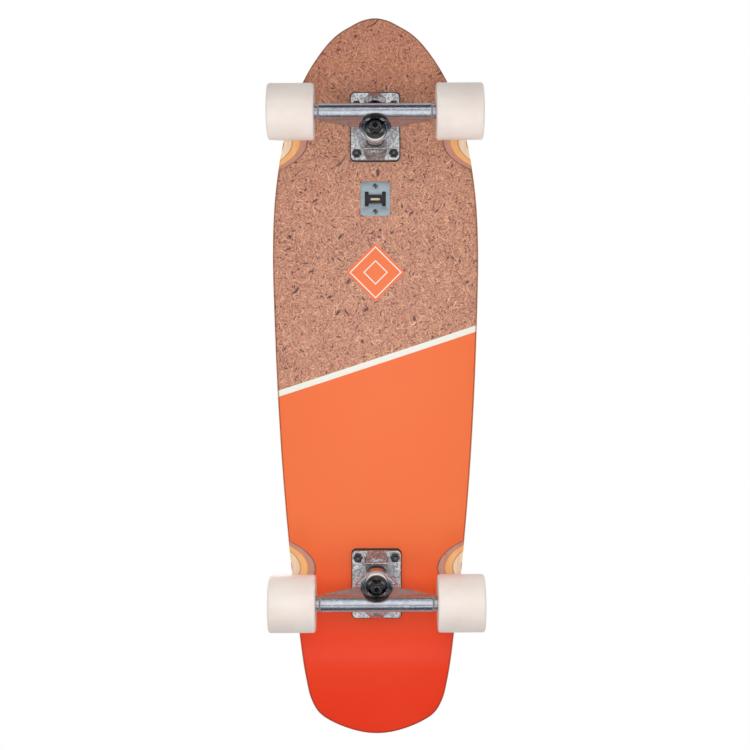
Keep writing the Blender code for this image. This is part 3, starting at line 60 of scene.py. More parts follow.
# one side of the cutting template, nose to tail: shares of the half length and of the half width
DECK_TEMPLATE = (
    (1.0, 0.0), (0.9934, 0.122), (0.9745, 0.252), (0.9547, 0.361), (0.920, 0.482), (0.8366, 0.676),
    (0.738, 0.817), (0.632, 0.910), (0.504, 0.976), (0.357, 1.0), (0.162, 0.986), (-0.059, 0.954),
    (-0.281, 0.905), (-0.502, 0.836), (-0.701, 0.754), (-0.832, 0.693), (-0.896, 0.644),
    (-0.9375, 0.566), (-0.967, 0.421), (-0.993, 0.1855), (-1.0, 0.0),
)
NOSE_LIFT, NOSE_LIFT_LENGTH = 0.006, 0.106
TAIL_LIFT, KICK_LENGTH, KICK_BLEND = 0.026, 0.116, 0.040
CONCAVE_RISE, FLAT_HALF_WIDTH = 0.005, 0.030
BOLT_GRID = (0.054, 0.0413)
ENDS = {"front": 1, "rear": -1}         # each truck's end of the board, and which way that truck faces
TRUCK_X = {"front": 0.279, "rear": -0.22585}
AXLE_OFFSET = 0.0142        # the axle from its truck's middle, away from the board's middle
WELL_REACH, WELL_HALF_LENGTH, WELL_DEPTH, WELL_BEHIND_AXLE = 0.028, 0.0305, 0.0046, 0.027
WELL_SIDES, WELL_LINES, LINES_IN_REACH = 240, 29, 8
OPENER_X = 0.202
FIT = 0.0003                # the gap between pieces that are put together
SPARE = 0.006               # how far a cutter goes past what it cuts
CRISP = 28.0                # degrees: an edge that bends more is shaded sharp
TINY = 1e-6


def blended(first, second, now, start, end):
    share = (now - start) / (end - start)
    return first * (1.0 - share) + second * share


def on_smooth_curve(near, share):
    """The point at a share of the way from near[1] to near[2], on a centripetal spline."""
    times = [0.0]
    for first, second in zip(near, near[1:]):
        times.append(times[-1] + math.sqrt((second - first).length))
    now = times[1] + (times[2] - times[1]) * share
    before = blended(near[0], near[1], now, times[0], times[1])
    between = blended(near[1], near[2], now, times[1], times[2])
    after = blended(near[2], near[3], now, times[2], times[3])
    earlier_arc = blended(before, between, now, times[0], times[2])
    later_arc = blended(between, after, now, times[1], times[3])
    return blended(earlier_arc, later_arc, now, times[1], times[2])


def deck_outline(inset):
    """The closed outline, drawn in by inset."""
    right = [Vector((along * DECK_LENGTH / 2, across * DECK_WIDTH / 2)) for along, across in DECK_TEMPLATE]
    knots = right + [Vector((point.x, -point.y)) for point in reversed(right[1:-1])]
    count = len(knots)
    curve = []
    for index in range(count):
        near = [knots[(index + shift) % count] for shift in (-1, 0, 1, 2)]
        curve += [on_smooth_curve(near, step / OUTLINE_STEPS) for step in range(OUTLINE_STEPS)]
    outline = []
    for index, point in enumerate(curve):
        point.x = max(-NOSE_X, min(NOSE_X, point.x))
        direction = curve[(index + 1) % len(curve)] - curve[index - 1]
        inward = Vector((direction.y, -direction.x)).normalized()
        if inward.dot(point) > 0.0:
            inward = -inward
        outline.append(tuple(point + inward * inset))
    return outline


def half_width_at(x):
    side = sorted(point for point in deck_outline(0.0) if point[1] >= 0.0)
    for first, second in zip(side, side[1:]):
        if first[0] <= x <= second[0]:
            return first[1] + (second[1] - first[1]) * (x - first[0]) / max(second[0] - first[0], TINY)
    return 0.0


def rise(x, y):
    """How far the press lifts the board above its flat middle."""
    lift = 0.0
    past_nose_line = x - (NOSE_X - NOSE_LIFT_LENGTH)
    if past_nose_line > 0.0:
        lift += NOSE_LIFT * (past_nose_line / NOSE_LIFT_LENGTH) ** 2
    past_kick_line = (KICK_LENGTH - NOSE_X) - x
    if past_kick_line > 0.0:
        slope = TAIL_LIFT / (KICK_LENGTH - KICK_BLEND / 2)
        if past_kick_line < KICK_BLEND:
            lift += slope * past_kick_line ** 2 / (2 * KICK_BLEND)
        else:
            lift += slope * (past_kick_line - KICK_BLEND / 2)
    past_flat = max(abs(y) - FLAT_HALF_WIDTH, 0.0)
    return lift + CONCAVE_RISE * (past_flat / (DECK_WIDTH / 2 - FLAT_HALF_WIDTH)) ** 2


def skinned(rings, loops_back=False):
    """Skins a list of rings of points; a ring of one point is a pole."""
    shape = bmesh.new()
    corners = [[shape.verts.new(point) for point in ring] for ring in rings]
    pairs = list(zip(corners, corners[1:]))
    if loops_back:
        pairs.append((corners[-1], corners[0]))
    for first, second in pairs:
        count = max(len(first), len(second))
        for index in range(count):
            after = (index + 1) % count
            face = [first[index % len(first)], first[after % len(first)],
                    second[after % len(second)], second[index % len(second)]]
            shape.faces.new(list(dict.fromkeys(face)))
    if not loops_back:
        for ring in (corners[0], corners[-1]):
            if len(ring) > 2:
                shape.faces.new(ring)
    bmesh.ops.recalc_face_normals(shape, faces=shape.faces)
    return shape


def around(radius, angle, height):
    return Vector((radius * math.cos(angle), radius * math.sin(angle), height))


def turned(profile, sides=64):
    """Turns (radius, height) points about Z; a profile that touches the axis is closed by it."""
    rings = []
    for radius, height in profile:
        if radius == 0.0:
            rings.append([Vector((0.0, 0.0, height))])
        else:
            angles = [math.tau * (step + 0.5) / sides for step in range(sides)]
            rings.append([around(radius, angle, height) for angle in angles])
    return skinned(rings, all(radius > 0.0 for radius, _ in profile))


def rod(radius, low, high):
    return turned([(0.0, low), (radius, low), (radius, high), (0.0, high)], 48)


def prism(outline, low, high):
    return skinned([[Vector((x, y, height)) for x, y in outline] for height in (low, high)])


def moved(shape, matrix):
    bmesh.ops.transform(shape, matrix=matrix, verts=shape.verts)
    return shape


def frame_along(origin, direction):
    """A matrix at origin whose Z axis points along direction."""
    along = Vector(direction).normalized()
    if abs(along.y) > 0.9:
        across = Vector((1.0, 0.0, 0.0))
        third = along.cross(across)
    else:
        third = Vector((0.0, 1.0, 0.0))
        across = third.cross(along)
    return Matrix.Translation(origin) @ Matrix((across, third, along)).transposed().to_4x4()


def rounded_rectangle(x_low, x_high, y_half, radius):
    corners = ((x_high, y_half, 0), (x_low, y_half, 1), (x_low, -y_half, 2), (x_high, -y_half, 3))
    outline = []
    for corner_x, corner_y, quarter in corners:
        centre_x = corner_x - math.copysign(radius, corner_x - (x_low + x_high) / 2)
        centre_y = corner_y - math.copysign(radius, corner_y)
        for step in range(CORNER_STEPS + 1):
            angle = math.pi / 2 * (quarter + step / CORNER_STEPS)
            outline.append((centre_x + radius * math.cos(angle), centre_y + radius * math.sin(angle)))
    return outline


def scratch_object(name, shape, slot=0, materials=()):
    bmesh.ops.triangulate(shape, faces=shape.faces)
    for face in shape.faces:
        face.material_index = slot
    mesh = bpy.data.meshes.new(name)
    for surface in materials:
        mesh.materials.append(surface)
    shape.to_mesh(mesh)
    shape.free()
    made = bpy.data.objects.new(name, mesh)
    bpy.context.scene.collection.objects.link(made)
    return made


def evaluated_mesh(body, name):
    bpy.context.view_layer.update()
    finished = body.evaluated_get(bpy.context.evaluated_depsgraph_get())
    mesh = bpy.data.meshes.new_from_object(finished)
    mesh.name = name
    return mesh


def add_steps(body, steps):
    """Adds modifiers, each given as its kind and its settings."""
    for kind, settings in steps:
        step = body.modifiers.new(kind.lower(), kind)
        for key, value in settings.items():
            setattr(step, key, value)


def carved(name, base, added=(), removed=(), cut_slot=0, finish=(), materials=()):
    """Joins shapes to the base, cuts others out of it, and gives the mesh after the finishing modifiers."""
    body = scratch_object(name, base, 0, materials)
    spent = [body]
    for operation, shapes, slot in (("UNION", added, 0), ("DIFFERENCE", removed, cut_slot)):
        if not shapes:
            continue
        tools = bpy.data.collections.new(name + "_tools")
        bpy.context.scene.collection.children.link(tools)
        for shape in shapes:
            tool = scratch_object(name + "_tool", shape, slot, materials)
            for holder in list(tool.users_collection):
                holder.objects.unlink(tool)
            tools.objects.link(tool)
            spent.append(tool)
        cut = body.modifiers.new(operation.lower(), "BOOLEAN")
        cut.operation = operation
        cut.operand_type = "COLLECTION"
        cut.collection = tools
    add_steps(body, finish)
    mesh = evaluated_mesh(body, name)
    for used in spent:
        bpy.data.objects.remove(used)
    return mesh


def shown(name, mesh, finish, body, replaced, sharp=34.0, matrix=None):
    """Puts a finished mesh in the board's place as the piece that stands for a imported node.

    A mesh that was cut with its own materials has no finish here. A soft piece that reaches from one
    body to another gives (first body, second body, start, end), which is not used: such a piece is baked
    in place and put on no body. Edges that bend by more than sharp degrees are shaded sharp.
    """
    if matrix:
        mesh.transform(matrix)
    if finish:
        mesh.materials.append(finish)
    mesh.shade_smooth()
    mesh.set_sharp_from_angle(angle=math.radians(sharp))
    piece = bpy.data.objects.new(name, mesh)
    bpy.context.scene.collection.objects.link(piece)
    if isinstance(body, str):
        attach(piece, body)
    else:
        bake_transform(piece)
    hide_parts(replaced)


def rounded_rims(shape, offset, segments):
    """Rounds the edges that run round the two flat faces of a sheet."""
    rims = [edge for edge in shape.edges if abs(edge.verts[0].co.z - edge.verts[1].co.z) < TINY]
    bmesh.ops.bevel(shape, geom=rims, offset=offset, segments=segments, profile=0.5, affect="EDGES")


# lines scored in a sheet so that it bends: (first, step, how many) for the nose, the kick, the tail, the flat
CROSS_SCORES = ((NOSE_X - NOSE_LIFT_LENGTH, 0.009, 12), (KICK_LENGTH - NOSE_X, -0.006, 8),
                (-0.33, -0.02, 4), (-0.24, 0.04, 13))
LONG_SCORE_STEP, LONG_SCORES = 0.008, 11


def pressed_sheet(inset, low, high, edge_round):
    """A flat sheet, cut to the outline, scored finely enough to bend, and pressed."""
    sheet = prism(deck_outline(inset), low, high)
    if edge_round > 0.0:
        rounded_rims(sheet, edge_round, 6)
    across = [first + step * number for first, step, count in CROSS_SCORES for number in range(count)]
    along = [side * (FLAT_HALF_WIDTH + LONG_SCORE_STEP * number)
             for side in (-1, 1) for number in range(LONG_SCORES)]
    scores = [(Vector((x, 0.0, 0.0)), Vector((1.0, 0.0, 0.0))) for x in across]
    scores += [(Vector((0.0, y, 0.0)), Vector((0.0, 1.0, 0.0))) for y in along]
    for point, normal in scores:
        everything = list(sheet.verts) + list(sheet.edges) + list(sheet.faces)
        bmesh.ops.bisect_plane(sheet, geom=everything, dist=TINY, plane_co=point, plane_no=normal)
    for corner in sheet.verts:
        corner.co.z += rise(corner.co.x, corner.co.y)
    return moved(sheet, Matrix.Translation((0.0, 0.0, DECK_BOTTOM)))


def bolt_centres(end):
    flip = ENDS[end]
    return [Vector((TRUCK_X[end] + flip * along * BOLT_GRID[0] / 2, flip * across * BOLT_GRID[1] / 2,
                    DECK_BOTTOM)) for along in (-1, 1) for across in (-1, 1)]


def well_cutter(axle_x, inboard, side):
    """A drum laid against the deck's edge; its skin has cross lines so that depths can be read from it."""
    x = axle_x + inboard * WELL_BEHIND_AXLE
    edge = half_width_at(x)
    inner = Vector((x, side * (edge - WELL_REACH), DECK_BOTTOM + rise(x, edge - WELL_REACH)))
    outer = Vector((x, side * edge, DECK_BOTTOM + rise(x, edge) + WELL_DEPTH))
    radius = (WELL_HALF_LENGTH ** 2 + WELL_DEPTH ** 2) / (2 * WELL_DEPTH)
    along = (outer - inner).normalized()
    below = Vector((0.0, along.z, -along.y)) * side
    profile = [(0.0, -WELL_REACH)]
    profile += [(radius, -WELL_REACH + WELL_REACH * line / LINES_IN_REACH) for line in range(WELL_LINES)]
    profile.append((0.0, profile[-1][1]))
    return moved(turned(profile, WELL_SIDES), frame_along(inner + below * radius, along))


def put(tree, kind, inputs=None, **settings):
    """Adds a shader node. An input is a value or the output of another node."""
    made = tree.nodes.new(kind)
    for key, value in settings.items():
        setattr(made, key, value)
    for key, value in (inputs or {}).items():
        if isinstance(value, bpy.types.NodeSocket):
            tree.links.new(value, made.inputs[key])
        else:
            made.inputs[key].default_value = value
    return made


def maths(tree, operation, first, second=0.0):
    return put(tree, "ShaderNodeMath", {0: first, 1: second}, operation=operation).outputs[0]


def vector_maths(tree, operation, first, second):
    key = "Scale" if operation == "SCALE" else 1
    return put(tree, "ShaderNodeVectorMath", {0: first, key: second}, operation=operation).outputs[0]


def noise_of(tree, place, scale, detail=3.0, roughness=0.5, distortion=0.0):
    values = {"Vector": place, "Scale": scale, "Detail": detail, "Roughness": roughness,
              "Distortion": distortion}
    return put(tree, "ShaderNodeTexNoise", values).outputs["Fac"]


def stepped(tree, value, low, high):
    """0 below low, 1 above high, and smooth between; low may lie above high to turn it over."""
    made = put(tree, "ShaderNodeMapRange", {0: value, 1: low, 2: high}, interpolation_type="SMOOTHSTEP")
    return made.outputs[0]


def mixed(tree, share, first, second, way="MIX"):
    made = put(tree, "ShaderNodeMix", {0: share, 6: first, 7: second}, data_type="RGBA", blend_type=way)
    return made.outputs[2]


def tinted(tree, mask, share, under, tint, way="MIX"):
    """A tint laid over a colour, as strongly as share where the mask is 1."""
    return mixed(tree, maths(tree, "MULTIPLY", mask, share), under, tint, way)


def ramped(tree, value, stops, interpolation="LINEAR"):
    made = put(tree, "ShaderNodeValToRGB", {0: value})
    band = made.color_ramp
    band.interpolation = interpolation
    while len(band.elements) < len(stops):
        band.elements.new(0.5)
    for element, (position, colour) in zip(band.elements, stops):
        element.position = position
        element.color = colour
    return made.outputs[0]


def hue(red, green, blue):
    """A colour from 0 to 255 values, as it is seen, in the linear values that a shader takes."""
    parts = [value / 255.0 for value in (red, green, blue)]
    return tuple(v / 12.92 if v <= 0.04045 else ((v + 0.055) / 1.055) ** 2.4 for v in parts) + (1.0,)


def new_finish(name, colour, roughness, metallic=0.0, **others):
    """A material with its shader's plain values set; gives the material, its tree and the shader."""
    made = bpy.data.materials.new(name)
    made.use_nodes = True
    shader = made.node_tree.nodes["Principled BSDF"]
    shader.inputs["Base Color"].default_value = colour
    shader.inputs["Roughness"].default_value = roughness
    shader.inputs["Metallic"].default_value = metallic
    for key, value in others.items():
        shader.inputs[key.replace("_", " ")].default_value = value
    return made, made.node_tree, shader


def place_in_row(tree):
    return put(tree, "ShaderNodeTexCoord").outputs["Object"]


def coloured(tree, shader, colour):
    tree.links.new(colour, shader.inputs["Base Color"])


def bumped(tree, shader, height, strength, distance):
    made = put(tree, "ShaderNodeBump", {"Height": height, "Strength": strength, "Distance": distance})
    tree.links.new(made.outputs[0], shader.inputs["Normal"])


def new_group(name, **inputs):
    """An empty shader group and its inputs, each given as a name and the kind of value that it takes."""
    group = bpy.data.node_groups.new(name, "ShaderNodeTree")
    for label, kind in inputs.items():
        group.interface.new_socket(label, in_out="INPUT", socket_type="NodeSocket" + kind)
    return group, group.nodes.new("NodeGroupInput").outputs


def give_out(group, made):
    """Gives the group one output for each mask that was made, by name."""
    for label in made:
        group.interface.new_socket(label, in_out="OUTPUT", socket_type="NodeSocketFloat")
    end = group.nodes.new("NodeGroupOutput")
    for label, value in made.items():
        group.links.new(value, end.inputs[label])


def use_group(tree, group, inputs):
    return put(tree, "ShaderNodeGroup", inputs, node_tree=group).outputs


# maple grain, stretched along the board, on the sawn edges, in the wells and on the bare top margin
wood_grain, grain_in = new_group("wood_grain", Vector="Vector")
long_way = put(wood_grain, "ShaderNodeMapping",
               {"Vector": grain_in["Vector"], "Scale": (6.0, 110.0, 110.0)}).outputs[0]
give_out(wood_grain, {
    "Streaks": noise_of(wood_grain, long_way, 1.0, 4.0, 0.6, 0.4),
    "Pores": stepped(wood_grain, noise_of(wood_grain, long_way, 7.0, 2.0, 0.5), 0.60, 0.72)})

# coconut-fibre veneer: pale and dark strands and dark chips pressed into a brown mat
husk, husk_in = new_group("husk_mat", Vector="Vector")
# strands: length, width and the share of the mat that they cover
PALE_STRANDS, PALE_TURNS = (0.013, 0.00085, 0.315), (0.2, 0.95, 1.6, 2.3, 2.9)
DARK_STRANDS, DARK_TURNS = (0.008, 0.00085, 0.35), (0.55, 1.3, 2.05, 2.7)
# chips: spacing, the share of the spaces that hold one, and size as a share of the spacing
SMALL_CHIPS, CHIP_TURNS = (0.0033, 0.19, 0.15), (0.4, 1.5, 2.6)
BIG_CHIPS, BIG_CHIP_TURN = (0.011, 0.16, 0.10), 0.9
CHIP_STRETCH, CHIP_RAGGED = 2.3, 0.20
STRAND_DRIFT, STRAND_CURL = 0.022, 38.0


def laid(tree, place, turn, length, width, offset):
    """The place measured in strand lengths along one direction and in strand widths across it."""
    return put(tree, "ShaderNodeMapping", {"Vector": place, "Location": offset, "Rotation": (0.0, 0.0, turn),
                                           "Scale": (length, width, 1.0)}, vector_type="TEXTURE").outputs[0]


def strands_one_way(tree, place, turn, length, width, share):
    along = laid(tree, place, turn, length, width, (turn * 3.0, turn * 7.0, 0.0))
    return stepped(tree, noise_of(tree, along, 1.0, 0.6, 0.4), 1.0 - share, 1.05 - share)


def chips(tree, place, turn, spacing, share, size):
    """Husk chips, longer than wide, one to a cell of a flat cell pattern, in a share of its cells."""
    there = laid(tree, place, turn, spacing * CHIP_STRETCH, spacing, (turn, 2.0 * turn, 0.0))
    cells = put(tree, "ShaderNodeTexVoronoi", {"Vector": there, "Scale": 1.0}, voronoi_dimensions="2D")
    chosen = put(tree, "ShaderNodeSeparateColor", {0: cells.outputs["Color"]}).outputs
    reach = maths(tree, "MULTIPLY", size, maths(tree, "ADD", maths(tree, "MULTIPLY", chosen[1], 1.2), 0.4))
    ragged = maths(tree, "MULTIPLY", noise_of(tree, place, 900.0, 2.0, 0.6), CHIP_RAGGED)
    edge = maths(tree, "SUBTRACT", maths(tree, "ADD", cells.outputs["Distance"], ragged), reach)
    inside = stepped(tree, edge, 0.14, 0.05)
    return maths(tree, "MULTIPLY", inside, stepped(tree, chosen[0], 1.0 - share, 1.0 - share + 0.02))


def most_of(tree, values):
    most = values[0]
    for value in values[1:]:
        most = maths(tree, "MAXIMUM", most, value)
    return most


flat_place = vector_maths(husk, "MULTIPLY", husk_in["Vector"], (1.0, 1.0, 0.0))
drift = put(husk, "ShaderNodeTexNoise", {"Vector": flat_place, "Scale": STRAND_CURL, "Detail": 1.0})
drift = vector_maths(husk, "SUBTRACT", drift.outputs["Color"], (0.5, 0.5, 0.5))
curved = vector_maths(husk, "ADD", flat_place, vector_maths(husk, "SCALE", drift, STRAND_DRIFT))
curved = vector_maths(husk, "MULTIPLY", curved, (1.0, 1.0, 0.0))
pale_strands = [strands_one_way(husk, curved, turn, *PALE_STRANDS) for turn in PALE_TURNS]
dark_strands = [strands_one_way(husk, curved, turn, *DARK_STRANDS) for turn in DARK_TURNS]
all_chips = [chips(husk, curved, turn, *SMALL_CHIPS) for turn in CHIP_TURNS]
all_chips.append(chips(husk, curved, BIG_CHIP_TURN, *BIG_CHIPS))
give_out(husk, {
    "Mat": noise_of(husk, flat_place, 420.0, 4.0, 0.75),
    "Cloud": noise_of(husk, flat_place, 30.0, 3.0, 0.6),
    "Strands": most_of(husk, pale_strands),
    "Dark Strands": most_of(husk, dark_strands),
    "Chips": most_of(husk, all_chips)})

# the underside: veneer, paint, the stripe between them and a plain inlaid mark
CREAM = hue(240, 239, 229)
STRIPE_AT, STRIPE_SLOPE, STRIPE_HALF = 0.0192, 0.3265, 0.0035
DIAMOND_X, DIAMOND_REACH, DIAMOND_LINES = 0.1195, 0.033, (0.0285, 0.0130)
# where the painted shade of the kicked tail is full, and where it is gone and the paint keeps its own orange
TAIL_SHADE_FULL_AT, TAIL_SHADE_GONE_AT = -0.40, -0.16
PRINT_BLUR, DIAMOND_BLUR, LINE_EDGE = 0.0002, 0.0003, (0.0010, 0.0006)      # how soft printed edges are
print_finish, tree, shader = new_finish("deck_underside", hue(244, 120, 72), 0.40, Specular_IOR_Level=0.22,
                                        Coat_Weight=0.12, Coat_Roughness=0.25)
place = place_in_row(tree)
axes = put(tree, "ShaderNodeSeparateXYZ", {0: place}).outputs
mat = use_group(tree, husk, {"Vector": place})
veneer = ramped(tree, mat["Mat"], (
    (0.34, hue(142, 86, 70)), (0.45, hue(184, 124, 102)), (0.56, hue(204, 146, 122)),
    (0.68, hue(236, 186, 160))))
veneer = tinted(tree, stepped(tree, mat["Cloud"], 0.40, 0.66), 0.16, veneer, hue(236, 176, 140))
veneer = tinted(tree, mat["Dark Strands"], 0.50, veneer, hue(104, 58, 50))
veneer = tinted(tree, mat["Strands"], 0.74, veneer, hue(248, 198, 156))
veneer = tinted(tree, mat["Chips"], 0.86, veneer, hue(74, 56, 60))
# painted shade: the veneer is drawn deeper and redder towards the nose, as the lifted nose turns from the
# light
veneer = tinted(tree, stepped(tree, axes[0], 0.27, 0.36), 0.20, veneer, hue(190, 90, 30))
# painted shade: the paint is drawn red at the tail and eases to its own orange, as the kicked tail turns away
# from the light
tail_shade_fade = put(tree, "ShaderNodeMapRange", {0: axes[0], 1: TAIL_SHADE_FULL_AT, 2: TAIL_SHADE_GONE_AT}).outputs[0]
paint_and_tail_shade = ramped(tree, tail_shade_fade, (
    (0.0, hue(252, 60, 27)), (0.42, hue(250, 65, 30)), (0.62, hue(246, 82, 40)), (0.84, hue(243, 106, 54)),
    (1.0, hue(243, 114, 60))))
paint_cloud = noise_of(tree, place, 9.0, 3.0, 0.55)
paint_and_tail_shade = tinted(tree, stepped(tree, paint_cloud, 0.35, 0.7), 0.05, paint_and_tail_shade, hue(250, 136, 88))
along_stripe = maths(tree, "SUBTRACT", maths(tree, "SUBTRACT", axes[0], STRIPE_AT),
                     maths(tree, "MULTIPLY", axes[1], STRIPE_SLOPE))
underside = mixed(tree, stepped(tree, along_stripe, -PRINT_BLUR, PRINT_BLUR), paint_and_tail_shade, veneer)
off_stripe = maths(tree, "ABSOLUTE", along_stripe)
in_stripe = stepped(tree, off_stripe, STRIPE_HALF + PRINT_BLUR, STRIPE_HALF - PRINT_BLUR)
underside = mixed(tree, in_stripe, underside, CREAM)
from_middle = maths(tree, "ABSOLUTE", maths(tree, "SUBTRACT", axes[0], DIAMOND_X))
from_middle = maths(tree, "ADD", from_middle, maths(tree, "ABSOLUTE", axes[1]))
in_diamond = stepped(tree, from_middle, DIAMOND_REACH + DIAMOND_BLUR, DIAMOND_REACH - DIAMOND_BLUR)
underside = mixed(tree, in_diamond, underside, hue(246, 122, 70))
for reach in DIAMOND_LINES:
    off_line = maths(tree, "ABSOLUTE", maths(tree, "SUBTRACT", from_middle, reach))
    underside = mixed(tree, stepped(tree, off_line, *LINE_EDGE), underside, CREAM)
# painted shade on the rounded rim: the print is darkened where its face turns away from straight down
normal = put(tree, "ShaderNodeNewGeometry").outputs["Normal"]
facing = put(tree, "ShaderNodeSeparateXYZ", {0: normal}).outputs[2]
underside = tinted(tree, stepped(tree, facing, -0.97, -0.80), 0.62, underside, hue(110, 44, 24), "MULTIPLY")
coloured(tree, shader, underside)
relief = maths(tree, "MULTIPLY", maths(tree, "SUBTRACT", mat["Mat"], mat["Chips"]),
               stepped(tree, along_stripe, STRIPE_HALF - PRINT_BLUR, STRIPE_HALF + PRINT_BLUR))
relief = maths(tree, "ADD", relief, maths(tree, "MULTIPLY", noise_of(tree, place, 160.0, 2.0), 0.4))
bumped(tree, shader, relief, 0.12, 0.0004)

# the sawn plies: each has its own tone, by its depth in the deck, with a dark glue line between two
PLY, PLY_COUNT = 0.00152, 7.25
ply_finish, tree, shader = new_finish("deck_plies", hue(236, 200, 156), 0.5, Coat_Weight=0.25,
                                      Coat_Roughness=0.3)
place = place_in_row(tree)
depth = put(tree, "ShaderNodeAttribute", attribute_name="depth_in_deck").outputs["Fac"]
grain = use_group(tree, wood_grain, {"Vector": place})
plies = ramped(tree, maths(tree, "DIVIDE", depth, PLY * PLY_COUNT), (
    (0.0, hue(206, 150, 136)), (0.125, hue(255, 194, 126)), (0.27, hue(255, 230, 196)),
    (0.41, hue(236, 178, 118)), (0.555, hue(250, 220, 178)), (0.70, hue(228, 168, 110)),
    (0.845, hue(248, 218, 176))), "CONSTANT")
in_ply = maths(tree, "FRACT", maths(tree, "DIVIDE", depth, PLY))
seam = maths(tree, "ABSOLUTE", maths(tree, "SUBTRACT", in_ply, 0.5))
plies = tinted(tree, stepped(tree, seam, 0.38, 0.46), 0.60, plies, hue(176, 92, 50))
plies = tinted(tree, stepped(tree, grain["Streaks"], 0.35, 0.65), 0.22, plies, hue(216, 146, 100), "MULTIPLY")
chipped = maths(tree, "ADD", depth, maths(tree, "MULTIPLY", noise_of(tree, place, 420.0, 3.0, 0.8), -0.0008))
plies = tinted(tree, stepped(tree, chipped, 0.0, -0.0002), 0.75, plies, hue(96, 52, 44))
plies = tinted(tree, grain["Pores"], 0.18, plies, hue(150, 100, 70))
coloured(tree, shader, plies)
bumped(tree, shader, grain["Streaks"], 0.15, 0.0003)

# what is cut out of the pressed blank: four wells, the bolts' holes, and the opener's seat and pocket
BOLT_HOLE, HEAD_HOLE, SINK_START, SINK_END, ABOVE_DECK = 0.0027, 0.005, 0.0083, 0.0107, 0.017
OPENER_LENGTH, OPENER_WIDTH, OPENER_THICKNESS, OPENER_CORNER = 0.0384, 0.0332, 0.0016, 0.0042
POCKET_LENGTH, POCKET_WIDTH, POCKET_DEPTH, POCKET_CORNER = 0.0206, 0.0276, 0.0074, 0.003
SCREW_SPACING, SCREW_HOLE, SCREW_HOLE_DEPTH = 0.0286, 0.0018, 0.0083
SAWN_LEAN = -0.62           # a face of the underside that leans further than this is sawn wood
cutters = []
for end, flip in ENDS.items():
    cutters += [well_cutter(TRUCK_X[end] + flip * AXLE_OFFSET, -flip, side) for side in (-1, 1)]
    for centre in bolt_centres(end):
        hole = turned([(0.0, -SPARE), (BOLT_HOLE, -SPARE), (BOLT_HOLE, SINK_START), (HEAD_HOLE, SINK_END),
                       (HEAD_HOLE, ABOVE_DECK), (0.0, ABOVE_DECK)], 32)
        cutters.append(moved(hole, Matrix.Translation(centre)))
at_opener = Matrix.Translation((OPENER_X, 0.0, DECK_BOTTOM))
opener_seat = rounded_rectangle(-OPENER_LENGTH / 2 - FIT, OPENER_LENGTH / 2 + FIT, OPENER_WIDTH / 2 + FIT,
                                OPENER_CORNER + FIT)
pocket = rounded_rectangle(-POCKET_LENGTH / 2, POCKET_LENGTH / 2, POCKET_WIDTH / 2, POCKET_CORNER)
cutters.append(moved(prism(opener_seat, -SPARE, OPENER_THICKNESS + FIT), at_opener))
cutters.append(moved(prism(pocket, -SPARE, POCKET_DEPTH), at_opener))
for side in (-1, 1):
    at_screw = at_opener @ Matrix.Translation((side * SCREW_SPACING / 2, 0.0, 0.0))
    cutters.append(moved(rod(SCREW_HOLE, -SPARE, SCREW_HOLE_DEPTH), at_screw))
deck_mesh = carved("deck_board", pressed_sheet(0.0, 0.0, DECK_THICKNESS, DECK_ROUND), removed=cutters,
                   cut_slot=1, materials=(print_finish, ply_finish))
depths = [corner.co.z - DECK_BOTTOM - rise(corner.co.x, corner.co.y) for corner in deck_mesh.vertices]
deck_mesh.attributes.new("depth_in_deck", "FLOAT", "POINT").data.foreach_set("value", depths)
for face in deck_mesh.polygons:
    deepest = max(depths[corner] for corner in face.vertices)
    if face.material_index == 0 and (face.normal.z > SAWN_LEAN or deepest > DECK_THICKNESS / 2):
        face.material_index = 1
shown("deck_board", deck_mesh, None, "board", "deck", CRISP)

# Grip tape: a self-adhesive sheet of black grit, trimmed just inside the deck's edge and cut out round the
# bolts' heads. Its grains are too small to model, so they are bump and roughness.
GRIP_INSET, GRIP_THICKNESS, GRIP_HOLE = 0.0034, 0.0008, 0.0053
grip_low = DECK_THICKNESS + FIT
grip_holes = []
for end in ENDS:
    for centre in bolt_centres(end):
        grip_holes.append(moved(rod(GRIP_HOLE, 0.0, grip_low + SPARE), Matrix.Translation(centre)))
grip_mesh = carved("grip_sheet", pressed_sheet(GRIP_INSET, grip_low, grip_low + GRIP_THICKNESS, 0.0),
                   removed=grip_holes)
grip_finish, tree, shader = new_finish("grit", hue(34, 34, 35), 0.92, Specular_IOR_Level=0.35)
cells = put(tree, "ShaderNodeTexVoronoi", {"Vector": place_in_row(tree), "Scale": 1500.0})
grains = cells.outputs["Distance"]
coloured(tree, shader, ramped(tree, grains, (
    (0.0, hue(74, 74, 76)), (0.25, hue(34, 34, 35)), (1.0, hue(16, 16, 17)))))
bumped(tree, shader, maths(tree, "SUBTRACT", 1.0, grains), 0.8, 0.0004)
shown("grip_sheet", grip_mesh, grip_finish, "board", "grip_tape", CRISP)

# Bottle opener: a small plate of brushed stainless steel let into the underside behind the front truck. Its
# mouth is punched through with two lips pressed inwards, over a moulded black tray, and two screws hold it.
MOUTH_WIDTH, MOUTH_LENGTH, LIP_LENGTH, LIP_DIP = 0.0237, 0.0084, 0.003, 0.0015
MOUTH_END_LENGTH, MOUTH_END_WIDTH, MOUTH_END_ROUND = 0.0166, 0.0041, 0.0012
LIP_ROOT, LIP_INSET, LIP_THINNING, LIP_STEPS = 0.0008, 0.00004, 0.8, 8
EDGE_BREAK = {"width": 0.00016, "segments": 2, "limit_method": "ANGLE", "angle_limit": math.radians(50)}
LINER_WALL, SLOT_LENGTH, SLOT_WIDTH, SLOT_CORNER, SLOT_HIGH = 0.0008, 0.0026, 0.0106, 0.0008, 0.02
SCREW_HEAD, SCREW_SHANK, SCREW_HEAD_DEPTH, SCREW_LENGTH = 0.0029, 0.0015, 0.0012, 0.008
